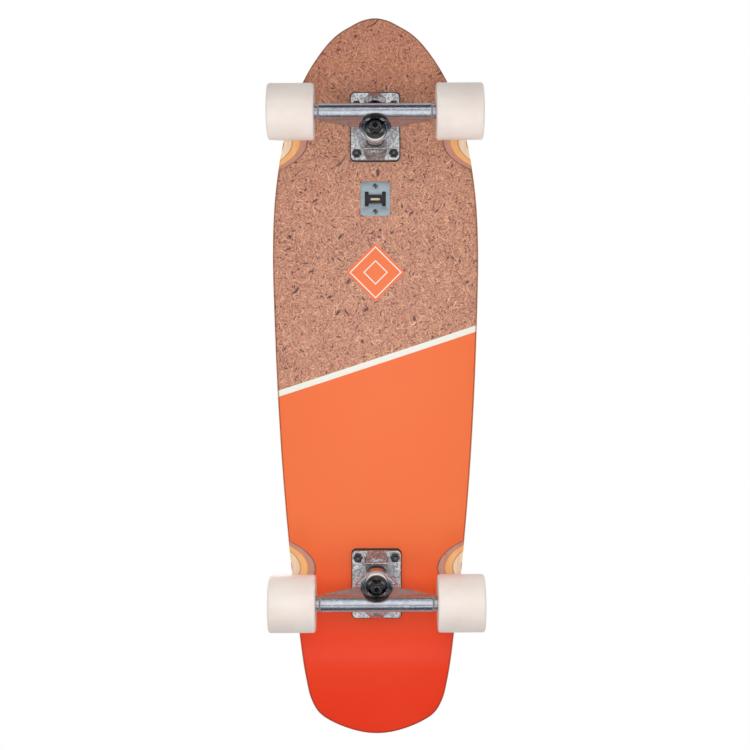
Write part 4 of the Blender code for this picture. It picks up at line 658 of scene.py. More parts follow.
SCREW_BREAK, SCREW_RIM = 0.0002, 0.0001
SCREW_CROSS = {"reach": 0.0017, "width": 0.00038, "depth": 0.0011}
CROSS_TAPER = ((1.05, -0.2), (0.95, 0.1), (0.5, 0.85))      # a driver's cross: width and depth, as shares
FILLET_STEPS, FILLET_LIMIT = 5, 0.45


def filleted(outline, radius):
    """Rounds every corner of a closed outline."""
    rounded = []
    for index, point in enumerate(outline):
        corner = Vector(point)
        before = Vector(outline[index - 1]) - corner
        after = Vector(outline[(index + 1) % len(outline)]) - corner
        reach = min(radius / math.tan(before.angle(after) / 2), before.length * FILLET_LIMIT,
                    after.length * FILLET_LIMIT)
        start = corner + before.normalized() * reach
        end = corner + after.normalized() * reach
        for step in range(FILLET_STEPS + 1):
            share = step / FILLET_STEPS
            bend = start * (1 - share) ** 2 + corner * 2 * share * (1 - share) + end * share ** 2
            rounded.append(tuple(bend))
    return rounded


def cross_recess(reach, width, depth):
    """A driver's cross, tapering to a point."""
    arm = ((reach, -width), (reach, width), (width, width))
    outline = []
    for quarter in range(4):
        turn = Matrix.Rotation(math.pi / 2 * quarter, 2)
        outline += [tuple(turn @ Vector(point)) for point in arm]
    rings = [[Vector((x * share, y * share, down * depth)) for x, y in outline]
             for share, down in CROSS_TAPER]
    return skinned(rings + [[Vector((0.0, 0.0, depth))]])


def shape_of(mesh):
    """A finished mesh as a shape that can be worked further."""
    shape = bmesh.new()
    shape.from_mesh(mesh)
    return shape


def roughened(tree, shader, value, low, high):
    """Roughness from low to high as the value goes from 0 to 1."""
    made = put(tree, "ShaderNodeMapRange", {0: value, 3: low, 4: high})
    tree.links.new(made.outputs[0], shader.inputs["Roughness"])


half_band = MOUTH_LENGTH / 2 + LIP_LENGTH
mouth_outer = MOUTH_WIDTH / 2
mouth_inner = mouth_outer - MOUTH_END_WIDTH
quarter = [(half_band, mouth_inner), (MOUTH_END_LENGTH / 2, mouth_inner), (MOUTH_END_LENGTH / 2, mouth_outer)]
left_side = quarter + [(-x, y) for x, y in reversed(quarter)]
mouth_outline = filleted(left_side + [(-x, -y) for x, y in left_side], MOUTH_END_ROUND)
lips = []
head_seats = []
for side in (-1, 1):
    tip, root = side * MOUTH_LENGTH / 2, side * (half_band + LIP_ROOT)
    under = [(root + (tip - root) * step / LIP_STEPS, LIP_DIP * (step / LIP_STEPS) ** 2)
             for step in range(LIP_STEPS + 1)]
    section = [(x, LIP_INSET + dip) for x, dip in under]
    section += [(x, OPENER_THICKNESS - LIP_INSET + dip * LIP_THINNING) for x, dip in reversed(under)]
    lips.append(skinned([[Vector((x, y, z)) for x, z in section]
                         for y in (-mouth_inner + FIT, mouth_inner - FIT)]))
    seat = turned([(0.0, -SPARE), (SCREW_HEAD + FIT, -SPARE), (SCREW_HEAD + FIT, 0.0),
                   (SCREW_SHANK + FIT, SCREW_HEAD_DEPTH), (SCREW_SHANK + FIT, SPARE), (0.0, SPARE)])
    head_seats.append(moved(seat, Matrix.Translation((side * SCREW_SPACING / 2, 0.0, 0.0))))
opener_outline = rounded_rectangle(-OPENER_LENGTH / 2, OPENER_LENGTH / 2, OPENER_WIDTH / 2, OPENER_CORNER)
blank = carved("opener_blank", prism(opener_outline, 0.0, OPENER_THICKNESS),
               removed=[prism(mouth_outline, -SPARE, SPARE)] + head_seats)
opener_mesh = carved("opener_steel", shape_of(blank), added=lips, finish=(("BEVEL", EDGE_BREAK),))

brushed, tree, shader = new_finish("brushed_steel", hue(150, 163, 170), 0.36, 1.0)
place = place_in_row(tree)
strokes = put(tree, "ShaderNodeMapping", {"Vector": place, "Scale": (2600.0, 90.0, 900.0)}).outputs[0]
stroke = noise_of(tree, strokes, 1.0, 3.0, 0.6)
scuffs = stepped(tree, noise_of(tree, place, 260.0, 4.0, 0.65, 1.5), 0.60, 0.68)
steel = ramped(tree, stroke, ((0.3, hue(138, 151, 158)), (0.7, hue(170, 182, 187))))
coloured(tree, shader, tinted(tree, scuffs, 0.30, steel, hue(114, 126, 134)))
roughened(tree, shader, stroke, 0.26, 0.48)
bumped(tree, shader, maths(tree, "ADD", stroke, scuffs), 0.12, 0.0001)
shown("opener_steel", opener_mesh, brushed, "board", "opener_plate", matrix=at_opener)

black_moulding, tree, shader = new_finish("black_moulding", hue(26, 27, 28), 0.45)
pebbles = noise_of(tree, place_in_row(tree), 900.0, 2.0, 0.6)
coloured(tree, shader, ramped(tree, pebbles, ((0.35, hue(20, 20, 21)), (0.65, hue(38, 38, 40)))))
bumped(tree, shader, pebbles, 0.25, 0.0002)
tray_sizes = [POCKET_LENGTH / 2 - FIT, POCKET_WIDTH / 2 - FIT, POCKET_CORNER - FIT]
tray = rounded_rectangle(-tray_sizes[0], *tray_sizes)
hollow_sizes = [size - LINER_WALL for size in tray_sizes]
hollow = rounded_rectangle(-hollow_sizes[0], *hollow_sizes)
slot_hole = rounded_rectangle(-SLOT_LENGTH / 2, SLOT_LENGTH / 2, SLOT_WIDTH / 2, SLOT_CORNER)
liner_mesh = carved("opener_tray", prism(tray, OPENER_THICKNESS + FIT, POCKET_DEPTH - FIT),
                    removed=[prism(hollow, -SPARE, POCKET_DEPTH - FIT - LINER_WALL),
                             prism(slot_hole, 0.0, SLOT_HIGH)])
shown("opener_tray", liner_mesh, black_moulding, "board", "opener_liner", matrix=at_opener)

# the wear of every plated piece: clouds, rubbed specks, and edges in the worn tone, which are edge wear and
# painted highlights
worn_plating, wear_in = new_group("worn_plating", Vector="Vector")
sharpness = put(worn_plating, "ShaderNodeNewGeometry").outputs["Pointiness"]
give_out(worn_plating, {
    "Wear": stepped(worn_plating, noise_of(worn_plating, wear_in["Vector"], 900.0, 4.0, 0.7), 0.60, 0.70),
    "Cloud": noise_of(worn_plating, wear_in["Vector"], 240.0, 2.0, 0.5),
    "Edges": stepped(worn_plating, sharpness, 0.53, 0.65)})


def plated(name, deep, light, rubbed_and_edge_light, rough_low, rough_high):
    """A plated metal: a cloudy tone, worn to another one in specks and, as wear and painted light, along its
    edges.
    """
    made, tree, shader = new_finish(name, deep, rough_low, 1.0)
    plating = use_group(tree, worn_plating, {"Vector": place_in_row(tree)})
    tone = ramped(tree, plating["Cloud"], ((0.3, deep), (0.7, light)))
    tone = tinted(tree, plating["Wear"], 0.4, tone, rubbed_and_edge_light)
    # the edges take the worn tone: edge wear, and a painted highlight where that tone is lighter than the
    # metal
    coloured(tree, shader, tinted(tree, plating["Edges"], 0.8, tone, rubbed_and_edge_light))
    roughened(tree, shader, plating["Cloud"], rough_low, rough_high)
    bumped(tree, shader, plating["Wear"], 0.1, 0.0001)
    return made


# the screws are plated in black zinc, as the bolts, their nuts, the washers and the kingpins are
black_zinc = plated("black_zinc", hue(50, 49, 51), hue(78, 77, 79), hue(206, 204, 203), 0.18, 0.30)
screw_profile = [(0.0, 0.0), (SCREW_HEAD - SCREW_BREAK, 0.0), (SCREW_HEAD, SCREW_RIM),
                 (SCREW_SHANK, SCREW_HEAD_DEPTH), (SCREW_SHANK, SCREW_LENGTH - SCREW_SHANK),
                 (0.0, SCREW_LENGTH)]
for end, side in ENDS.items():
    screw_mesh = carved("screw", turned(screw_profile), removed=[cross_recess(**SCREW_CROSS)])
    shown(f"opener_{end}_screw", screw_mesh, black_zinc, "board", f"opener_screw_{end}",
          matrix=at_opener @ Matrix.Translation((side * SCREW_SPACING / 2, 0.0, 0.0)))

# Riser pads: moulded black rubber sheets between each truck and the deck, drilled for the four bolts, that
# take up shock. Their edges show round the baseplates.
RISER = {"x_low": -0.0357, "x_high": 0.0424, "y_half": 0.02805, "radius": 0.0055}
RISER_LOW, RISER_HIGH, RISER_ROUND = 0.0003, 0.0033, 0.0004
BOLT_RADIUS = 0.0024
TRUCK_TOP = 0.084
TRUCK_TURN = {"front": 0.0, "rear": math.pi}
CORNERS = ((-1, -1), (-1, 1), (1, -1), (1, 1))


def truck_frame(end):
    return Matrix.Translation((TRUCK_X[end], 0.0, TRUCK_TOP)) @ Matrix.Rotation(TRUCK_TURN[end], 4, "Z")


def in_truck(corner):
    """A bolt's place in its truck's own frame."""
    return Matrix.Translation((corner[0] * BOLT_GRID[0] / 2, corner[1] * BOLT_GRID[1] / 2, 0.0))


rubber, tree, shader = new_finish("black_rubber", hue(30, 30, 32), 0.55)
place = place_in_row(tree)
bloom = noise_of(tree, place, 120.0, 4.0, 0.6)
coloured(tree, shader, ramped(tree, bloom, ((0.35, hue(24, 24, 26)), (0.7, hue(44, 44, 47)))))
roughened(tree, shader, bloom, 0.46, 0.68)
bumped(tree, shader, noise_of(tree, place, 1400.0, 2.0, 0.6), 0.2, 0.0002)
for end in ENDS:
    pad = prism(rounded_rectangle(**RISER), RISER_LOW, RISER_HIGH)
    rounded_rims(pad, RISER_ROUND, 3)
    holes = [moved(rod(BOLT_RADIUS + FIT, -SPARE, SPARE), in_truck(corner)) for corner in CORNERS]
    shown(f"{end}_riser", carved("riser", pad, removed=holes), rubber, "board", f"{end}_riser_pad",
          matrix=truck_frame(end))

# Baseplates and hangers: aluminium castings, the baseplates sand-blasted and the hangers tumbled smooth. The
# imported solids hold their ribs, bosses, ring, wings and seats, and the finer skin here rounds every edge.
CASTING_VOXEL, CASTING_SHARE = 0.0005, 0.3
BASEPLATE_ROUNDS, HANGER_ROUNDS = 6, 10
SMOOTH_ALL_OVER = 180.0


def cast_skin(node, rounds):
    """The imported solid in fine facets, with its edges rounded off as a casting's are."""
    rough = bpy.data.objects.new(node + "_form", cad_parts[node].data.copy())
    rough.data.materials.clear()
    bpy.context.scene.collection.objects.link(rough)
    add_steps(rough, (("REMESH", {"mode": "VOXEL", "voxel_size": CASTING_VOXEL}),
                      ("SMOOTH", {"factor": 0.5, "iterations": rounds}),
                      ("DECIMATE", {"ratio": CASTING_SHARE})))
    mesh = evaluated_mesh(rough, node + "_casting")
    bpy.data.objects.remove(rough)
    return mesh


# the surface of the castings: grain, clouds, pits, and painted shade in the hollows, where the casting's own
# shape closes round a point
cast_metal, cast_in = new_group("cast_metal", Vector="Vector", Scale="Float")
cast_place = vector_maths(cast_metal, "SCALE", cast_in["Vector"], cast_in["Scale"])
open_around = put(cast_metal, "ShaderNodeAmbientOcclusion", {"Distance": 0.014}, samples=6, only_local=True)
give_out(cast_metal, {
    "Grain": noise_of(cast_metal, cast_place, 900.0, 3.0, 0.6),
    "Cloud": noise_of(cast_metal, cast_place, 150.0, 3.0, 0.6),
    "Pits": stepped(cast_metal, noise_of(cast_metal, cast_place, 700.0, 2.0), 0.66, 0.74),
    "Hollow Shade": stepped(cast_metal, open_around.outputs["AO"], 0.82, 0.30)})


def casting_finish(name, deep, light, roughness, grain_height, mottle, hollow_shade, scale):
    made, tree, shader = new_finish(name, deep, roughness[0], 1.0)
    surface = use_group(tree, cast_metal, {"Vector": place_in_row(tree), "Scale": scale})
    tone = ramped(tree, surface["Cloud"], ((0.3, deep), (0.7, light)))
    tone = tinted(tree, stepped(tree, surface["Grain"], 0.56, 0.40), mottle, tone, hue(104, 104, 107))
    tone = tinted(tree, surface["Pits"], 0.35, tone, hue(96, 96, 100))
    # painted shade: the tone is darkened in the casting's hollows, where the shade falls
    coloured(tree, shader, tinted(tree, surface["Hollow Shade"], hollow_shade, tone, hue(74, 73, 74)))
    roughened(tree, shader, surface["Cloud"], *roughness)
    relief = maths(tree, "SUBTRACT", surface["Grain"], maths(tree, "MULTIPLY", surface["Pits"], 0.5))
    bumped(tree, shader, relief, grain_height, 0.0006)
    return made


blasted = casting_finish("blasted_casting", hue(204, 205, 207), hue(246, 247, 248), (0.30, 0.44),
                         grain_height=1.0, mottle=0.62, hollow_shade=0.80, scale=0.55)
tumbled = casting_finish("tumbled_casting", hue(184, 188, 196), hue(204, 208, 216), (0.20, 0.28),
                         grain_height=0.2, mottle=0.06, hollow_shade=0.15, scale=1.3)
for end in ENDS:
    baseplate, hanger = f"{end}_baseplate", f"{end}_hanger"
    shown(baseplate + "_casting", cast_skin(baseplate, BASEPLATE_ROUNDS), blasted, "board", baseplate,
          SMOOTH_ALL_OVER)
    shown(hanger + "_casting", cast_skin(hanger, HANGER_ROUNDS), tumbled, hanger + "_set", hanger,
          SMOOTH_ALL_OVER)

# Pivot cups, kingpins, bushings and their washers: the hanger steers on its pivot, in a moulded rubber cup,
# and on the kingpin between two bushings, black rubber above and cream urethane below, that the nut squeezes
# between plated washers.
MM = 0.001
KINGPIN_OFFSET, KINGPIN_TILT = -0.0139, math.radians(15.3)
PIVOT, PIVOT_RADIUS, PIVOT_CUP_WALL, CUP_MOUTH = Vector((0.031, 0.0, -0.0086)), 0.0048, 0.0016, 0.0026
CUP_LIP_BREAK = 0.0004
RING_CENTRE_AT = 0.0304
KINGPIN_DOWN = Vector((math.sin(KINGPIN_TILT), 0.0, -math.cos(KINGPIN_TILT)))
KINGPIN_BASE = Vector((KINGPIN_OFFSET, 0.0, 0.0))
STEER_AXIS = (KINGPIN_BASE + KINGPIN_DOWN * RING_CENTRE_AT - PIVOT).normalized()
# profiles are in millimetres from here on, and these heights run down the kingpin from its baseplate's face
UPPER_START, UPPER_END, LOWER_START, LOWER_END, CUSHION_BORE = 16.1, 27.6, 33.2, 42.2, 5.35
SOCKET_FLATS, SOCKET_LOW, SOCKET_HIGH, SOCKET_DRILL, DRILL_TIP, DRILL_END = 6.2, 49.4, 53.0, 2.9, 48.4, 49.5
KINGPIN_NUT_AT = 43.8
KINGPIN_NUT = {"flats": 14.3, "hex_height": 5.6, "height": 8.0, "bore": 4.9, "collar": 6.6}
NUT_SIDES, NUT_CHAMFER, NUT_CHAMFER_STEPS, COLLAR_ROUND, COLLAR_STEPS = 96, 0.58, 5, 0.7, 4
BALL_STEPS = 10


def kingpin_frame(end):
    return truck_frame(end) @ frame_along(KINGPIN_BASE, KINGPIN_DOWN)


def lathe(profile, sides=64):
    """Turns a profile that is given in millimetres."""
    return turned([(radius * MM, height * MM) for radius, height in profile], sides)


def bare_mesh(name, shape):
    mesh = bpy.data.meshes.new(name)
    shape.to_mesh(mesh)
    shape.free()
    return mesh


def ball_end(radius):
    angles = [math.pi / 2 * step / BALL_STEPS for step in range(BALL_STEPS)]
    return [(radius * math.sin(angle), -radius * math.cos(angle)) for angle in angles] + [(radius, 0.0)]


def nut_shape(flats, hex_height, height, bore, collar):
    """A hexagon with chamfered corners and a rounded collar that holds a locking ring."""
    half, corner = flats / 2, flats / math.sqrt(3)
    chamfer = (corner - half) * NUT_CHAMFER
    rim = 0.04 * hex_height
    slant = [(chamfer * step / NUT_CHAMFER_STEPS, half + (corner - half) * step / NUT_CHAMFER_STEPS)
             for step in range(NUT_CHAMFER_STEPS + 1)]
    levels = [(0.0, half * 0.97), (rim, half * 0.985)]
    levels += [(rim + up, limit) for up, limit in slant[1:]]
    levels += [(hex_height - up, limit) for up, limit in reversed(slant)]
    levels += [(hex_height + 0.1, collar), (height - COLLAR_ROUND, collar)]
    for step in range(1, COLLAR_STEPS + 1):
        angle = math.pi / 2 * step / COLLAR_STEPS
        levels.append((height - COLLAR_ROUND + COLLAR_ROUND * math.sin(angle),
                       collar - COLLAR_ROUND * (1 - math.cos(angle))))
    levels += [(height - 0.05, bore + 1.0), (height - 0.5, bore + 0.9), (height - 0.6, bore + 0.05),
               (height - 1.8, bore + 0.05), (height - 1.9, bore), (0.5, bore), (0.0, bore + 0.5)]
    rings = []
    for level, limit in levels:
        ring = []
        for step in range(NUT_SIDES):
            angle = math.tau * step / NUT_SIDES
            on_flat = half / math.cos((angle + math.pi / 6) % (math.pi / 3) - math.pi / 6)
            ring.append(around(min(limit, on_flat), angle, level) * MM)
        rings.append(ring)
    return skinned(rings, True)


cup_inside, cup_outside = PIVOT_RADIUS + FIT, PIVOT_RADIUS + FIT + PIVOT_CUP_WALL
cup_profile = ball_end(cup_outside) + [(cup_outside, CUP_MOUTH - CUP_LIP_BREAK),
                                       (cup_outside - CUP_LIP_BREAK, CUP_MOUTH), (cup_inside, CUP_MOUTH)]
cup_profile += list(reversed(ball_end(cup_inside)))
kingpin_profile = [(0, 2.34), (7.0, 2.34), (7.4, 2.74), (7.4, 6.7), (7.0, 7.13), (4.75, 7.13), (4.75, 51.75),
                   (4.15, 52.35), (3.9, 52.4), (0, 52.4)]
upper_washer = [(5.05, 14.6), (11.4, 14.6), (11.6, 14.8), (11.6, 15.6), (11.4, 15.8), (5.05, 15.8)]
cup_washer = [(CUSHION_BORE, 42.5), (10.0, 42.5), (10.6, 42.35), (10.9, 41.9), (10.9, 41.1), (11.9, 41.1),
              (11.9, 42.2), (11.8, 42.7), (11.3, 43.15), (10.6, 43.32), (9.9, 43.34), (9.65, 43.5),
              (CUSHION_BORE, 43.5)]
upper_bushing = [(CUSHION_BORE, UPPER_START), (10.9, UPPER_START), (11.35, 16.5), (11.6, 17.4)]
upper_bushing += [(11.6 + 0.2 * math.sin(math.pi * step / 8), 17.4 + 8.9 * step / 8) for step in range(1, 8)]
upper_bushing += [(11.6, 26.3), (11.35, 27.2), (10.9, UPPER_END), (CUSHION_BORE, UPPER_END)]
upper_bushing += [(CUSHION_BORE, UPPER_END - (UPPER_END - UPPER_START) * step / 6) for step in range(1, 6)]
lower_bushing = [(CUSHION_BORE, LOWER_START), (11.4, LOWER_START), (11.8, 33.6), (11.8, 35.4)]
lower_bushing += [(11.8 - 2.2 * (step / 6) ** 1.15, 35.4 + 6.2 * step / 6) for step in range(1, 7)]
lower_bushing += [(9.2, LOWER_END), (CUSHION_BORE, LOWER_END)]
lower_bushing += [(CUSHION_BORE, LOWER_END - (LOWER_END - LOWER_START) * step / 6) for step in range(1, 6)]
socket_corners = [math.pi / 3 * step for step in range(6)]
socket_outline = [(SOCKET_FLATS / math.sqrt(3) * math.cos(angle) * MM,
                   SOCKET_FLATS / math.sqrt(3) * math.sin(angle) * MM) for angle in socket_corners]
cream_cushion, tree, shader = new_finish("cream_cushion", hue(242, 238, 230), 0.38)
pour = noise_of(tree, place_in_row(tree), 180.0, 3.0, 0.55)
coloured(tree, shader, ramped(tree, pour, ((0.3, hue(236, 231, 221)), (0.7, hue(248, 245, 240)))))
bumped(tree, shader, pour, 0.1, 0.0002)
# painted shade: the kingpin's hex socket is coloured near black, for the shade deep in the hole
socket_shade_black, tree, shader = new_finish("socket_shade_black", hue(14, 14, 15), 0.7, Specular_IOR_Level=0.2)
socket_shade_tone = noise_of(tree, place_in_row(tree), 700.0)
coloured(tree, shader, ramped(tree, socket_shade_tone, ((0.3, hue(10, 10, 11)), (0.7, hue(22, 21, 20)))))
CUSHIONS = (("boardside", upper_bushing, UPPER_START, UPPER_END, rubber, "black_rubber"),
            ("roadside", lower_bushing, LOWER_END, LOWER_START, cream_cushion, "urethane"))
for end in ENDS:
    at_kingpin = kingpin_frame(end)
    shown(f"{end}_pivot_seat", bare_mesh("pivot_seat", turned(cup_profile, 48)), rubber, "board",
          f"{end}_pivot_cup", matrix=truck_frame(end) @ frame_along(PIVOT, STEER_AXIS))
    socket = prism(socket_outline, SOCKET_LOW * MM, SOCKET_HIGH * MM)
    drilled = lathe([(0, DRILL_TIP), (SOCKET_DRILL, DRILL_END), (0, DRILL_END)])
    kingpin_mesh = carved("kingpin", lathe(kingpin_profile), removed=[socket, drilled], cut_slot=1,
                          materials=(black_zinc, socket_shade_black))
    shown(f"{end}_kingpin_bolt", kingpin_mesh, None, "board", f"{end}_kingpin",
          matrix=at_kingpin)
    shown(f"{end}_upper_washer", bare_mesh("upper_washer", lathe(upper_washer)), black_zinc, "board",
          f"{end}_boardside_washer", matrix=at_kingpin)
    shown(f"{end}_cupped_washer", bare_mesh("cupped_washer", lathe(cup_washer, 96)), black_zinc, "board",
          f"{end}_roadside_washer", matrix=at_kingpin)
    for label, profile, fixed, moving, cast, slot in CUSHIONS:
        blend_over = ("board", f"{end}_hanger_set", at_kingpin @ Vector((0.0, 0.0, fixed * MM)),
                      at_kingpin @ Vector((0.0, 0.0, moving * MM)))
        shown(f"{end}_{label}_cushion", bare_mesh("cushion", lathe(profile, 80)), cast, blend_over,
              f"{end}_{label}_bushing", matrix=at_kingpin)
    shown(f"{end}_kingpin_lock_nut", bare_mesh("kingpin_nut", nut_shape(**KINGPIN_NUT)), black_zinc,
          "board", f"{end}_kingpin_nut",
          matrix=at_kingpin @ Matrix.Translation((0.0, 0.0, KINGPIN_NUT_AT * MM)))

# Axles, bearings and wheels: a zinc-plated steel rod runs through the hanger. Each cast urethane wheel turns
# on two shielded ball bearings with a spacer between them, a speed washer each side, and a locking nut.
AXLE_PLACE = Vector((AXLE_OFFSET, 0.0, -0.053))
AXLE_RADIUS, AXLE_THREAD_AT, AXLE_END, AXLE_NUT_AT = 3.95, 93.4, 104.0, 93.8
AXLE_THREAD = {"pitch": 1.06, "depth": 0.42, "sides": 40}
AXLE_NUT = {"flats": 12.7, "hex_height": 4.2, "height": 6.2, "bore": 4.05, "collar": 5.7}
INNER_BEARING_AT, OUTER_BEARING_AT, BEARING_WIDTH = 69.2, 86.2, 7.0
WHEEL_MIDDLE, WHEEL_RADIUS, WHEEL_HALF, WHEEL_LIP = 91.4, 31.0, 25.5, 2.9
DISH_RADIUS, DISH_ROUND, DISH_END_RADIUS, DISH_STEPS = 18.3, 1.2, 12.6, 8
SEAT_RADIUS, SEAT_PLAY, SEAT_DEEPER, SPACER_RADIUS = 11.3, 0.3, 0.8, 8.6
LINES_IN_PITCH, THREAD_STEEPNESS, THREAD_TIP, TIP_SLOPE = 8, 2.6, 0.6, 0.9


def threaded(radius, pitch, low, high, depth, sides):
    """A screw thread cut on a rod, with a chamfered tip at its high end."""
    rings = [[Vector((0.0, 0.0, low * MM))]]
    count = round((high - low) / (pitch / LINES_IN_PITCH))
    for index in range(count + 1):
        height = low + (high - low) * index / count
        ring = []
        for step in range(sides):
            turn = step / sides
            phase = (height / pitch - turn) % 1.0
            cut = max(0.0, 1.0 - abs(phase - 0.5) * THREAD_STEEPNESS) * depth
            limit = radius - max(0.0, height - (high - THREAD_TIP)) * TIP_SLOPE
            ring.append(around(min(radius - cut, limit), math.tau * turn, height) * MM)
        rings.append(ring)
    rings.append([Vector((0.0, 0.0, high * MM))])
    return skinned(rings)


def gathered(name, shapes):
    """Several closed shapes as one mesh."""
    whole = bmesh.new()
    for shape in shapes:
        part = bare_mesh(name, shape)
        whole.from_mesh(part)
        bpy.data.meshes.remove(part)
    return bare_mesh(name, whole)


def arc(centre, start, end, steps):
    """Points of a profile's rounded corner, (x, y, radius), between two angles in degrees."""
    angles = [math.radians(start + (end - start) * step / steps) for step in range(steps + 1)]
    x, y, radius = centre
    return [(x + radius * math.cos(angle), y + radius * math.sin(angle)) for angle in angles]


def along_axle(end, side, distance, facing=1):
    """A frame at a distance out along one half of an axle, facing outwards or back to the middle."""
    out = Vector((0.0, side * ENDS[end], 0.0))
    return truck_frame(end) @ frame_along(AXLE_PLACE + out * distance * MM, out * facing)


half_axle = [(0, 0), (AXLE_RADIUS, 0), (AXLE_RADIUS, 67.85), (6.1, 67.85), (6.3, 68.0), (6.3, 68.75),
             (6.1, 68.9), (AXLE_RADIUS, 68.9), (AXLE_RADIUS, 76.5), (5.4, 76.5), (5.6, 76.7), (5.6, 85.7),
             (5.4, 85.9), (AXLE_RADIUS, 85.9), (AXLE_RADIUS, AXLE_THREAD_AT), (0, AXLE_THREAD_AT)]
bearing_profile = [(4.25, -3.3), (4.45, -3.5), (6.0, -3.5), (6.1, -3.4), (6.1, -3.05), (6.3, -2.95),
                   (9.2, -2.95), (9.55, -3.15), (9.6, -3.5), (10.7, -3.5), (11.0, -3.2), (11.0, 3.2),
                   (10.7, 3.5), (9.6, 3.5), (9.55, 3.2), (9.2, 3.0), (6.3, 3.0), (6.1, 3.1), (6.1, 3.4),
                   (6.0, 3.5), (4.45, 3.5), (4.25, 3.3)]
lip_x, lip_y = WHEEL_RADIUS - WHEEL_LIP, WHEEL_HALF - WHEEL_LIP
inner_seat_end = INNER_BEARING_AT + BEARING_WIDTH + SEAT_PLAY - WHEEL_MIDDLE
outer_seat_start = OUTER_BEARING_AT - SEAT_PLAY - WHEEL_MIDDLE
outer_seat_end = OUTER_BEARING_AT + BEARING_WIDTH + SEAT_DEEPER - WHEEL_MIDDLE
dish_depth = outer_seat_end + 0.5 - WHEEL_HALF + DISH_ROUND
wheel_profile = arc((lip_x, -lip_y, WHEEL_LIP), -90, 0, 8)
wheel_profile += [(WHEEL_RADIUS, -lip_y + lip_y * step / 6) for step in range(1, 12)]
wheel_profile += arc((lip_x, lip_y, WHEEL_LIP), 0, 90, 8)
wheel_profile += arc((DISH_RADIUS + DISH_ROUND, WHEEL_HALF - DISH_ROUND, DISH_ROUND), 90, 180, 4)
wheel_profile += [(DISH_RADIUS + (DISH_END_RADIUS - DISH_RADIUS) * step / DISH_STEPS,
                   WHEEL_HALF - DISH_ROUND + dish_depth * math.sin(math.pi / 2 * step / DISH_STEPS))
                  for step in range(1, DISH_STEPS + 1)]
wheel_profile += [(12.1, outer_seat_end + 0.1), (11.7, outer_seat_end), (SEAT_RADIUS, outer_seat_end - 0.4),
                  (SEAT_RADIUS, outer_seat_start), (SPACER_RADIUS, outer_seat_start),
                  (SPACER_RADIUS, inner_seat_end), (SEAT_RADIUS, inner_seat_end),
                  (SEAT_RADIUS, -WHEEL_HALF + 0.7), (SEAT_RADIUS + 0.6, -WHEEL_HALF)]
bright_zinc = plated("bright_zinc", hue(186, 188, 190), hue(212, 213, 214), hue(232, 232, 232), 0.22, 0.36)
ground_steel = plated("ground_steel", hue(196, 197, 200), hue(220, 221, 224), hue(168, 168, 172), 0.16, 0.26)
urethane, tree, shader = new_finish("cream_urethane", hue(238, 226, 216), 0.42, Coat_Weight=0.12,
                                    Coat_Roughness=0.35, Subsurface_Weight=0.15,
                                    Subsurface_Radius=(0.008, 0.004, 0.002))
place = place_in_row(tree)
pour = noise_of(tree, place, 26.0, 3.0, 0.55)
coloured(tree, shader, ramped(tree, pour, ((0.3, hue(230, 217, 208)), (0.7, hue(238, 228, 221)))))
dust = stepped(tree, noise_of(tree, place, 520.0, 3.0, 0.7), 0.55, 0.75)
roughened(tree, shader, dust, 0.38, 0.52)
bumped(tree, shader, maths(tree, "ADD", pour, maths(tree, "MULTIPLY", dust, 0.4)), 0.08, 0.0003)
for end in ENDS:
    halves = []
    for turn in (0.0, math.pi):
        flip = Matrix.Rotation(turn, 4, "X")
        thread = threaded(AXLE_RADIUS, low=AXLE_THREAD_AT, high=AXLE_END, **AXLE_THREAD)
        halves += [moved(lathe(half_axle, 48), flip), moved(thread, flip)]
    shown(f"{end}_axle_rod", gathered("axle_rod", halves), bright_zinc, f"{end}_hanger_set", f"{end}_axle",
          matrix=truck_frame(end) @ frame_along(AXLE_PLACE, (0.0, 1.0, 0.0)))
for end in ENDS:
    for side_name, side in (("left", 1), ("right", -1)):
        corner_name = f"{end}_{side_name}"
        shown(f"{corner_name}_tyre", bare_mesh("wheel", lathe(wheel_profile, 128)), urethane,
              f"{corner_name}_wheel_set", f"{corner_name}_wheel",
              matrix=along_axle(end, side, WHEEL_MIDDLE))
        for bearing, at, facing in (("inner", INNER_BEARING_AT, -1), ("outer", OUTER_BEARING_AT, 1)):
            bearing_name = f"{corner_name}_{bearing}_bearing"
            shown(bearing_name + "_race", bare_mesh("bearing", lathe(bearing_profile, 72)), ground_steel,
                  f"{corner_name}_wheel_set", bearing_name, CRISP,
                  along_axle(end, side, at + BEARING_WIDTH / 2, facing))
        shown(f"{corner_name}_lock_nut", bare_mesh("axle_nut", nut_shape(**AXLE_NUT)), bright_zinc,
              f"{end}_hanger_set", f"{corner_name}_axle_nut",
              matrix=along_axle(end, side, AXLE_NUT_AT))

# Mounting hardware: four countersunk bolts go down through the deck, the riser and the baseplate of each
# truck, and a locking nut pulls each one tight from below. Both are steel with black zinc.
BOLT_TIP, BOLT_TOP, BOLT_HEAD, BOLT_HEAD_DEPTH, THREAD_START = -12.4, 14.3, 4.7, 2.4, -3.0
BOLT_SHANK, BOLT_NUT_AT = 2.4, -4.8
BOLT_THREAD = {"pitch": 0.8, "depth": 0.32, "sides": 32}
BOLT_NUT = {"flats": 9.5, "hex_height": 3.9, "height": 6.0, "bore": 2.5, "collar": 4.2}
BOLT_CROSS = {"reach": 2.5 * MM, "width": 0.55 * MM, "depth": 2.0 * MM}
bolt_profile = [(0, THREAD_START), (BOLT_SHANK, THREAD_START), (BOLT_SHANK, BOLT_TOP - BOLT_HEAD_DEPTH),
                (BOLT_HEAD - 0.1, BOLT_TOP - 0.15), (BOLT_HEAD - 0.1, BOLT_TOP), (0, BOLT_TOP)]
upside_down = Matrix.Rotation(math.pi, 4, "X")
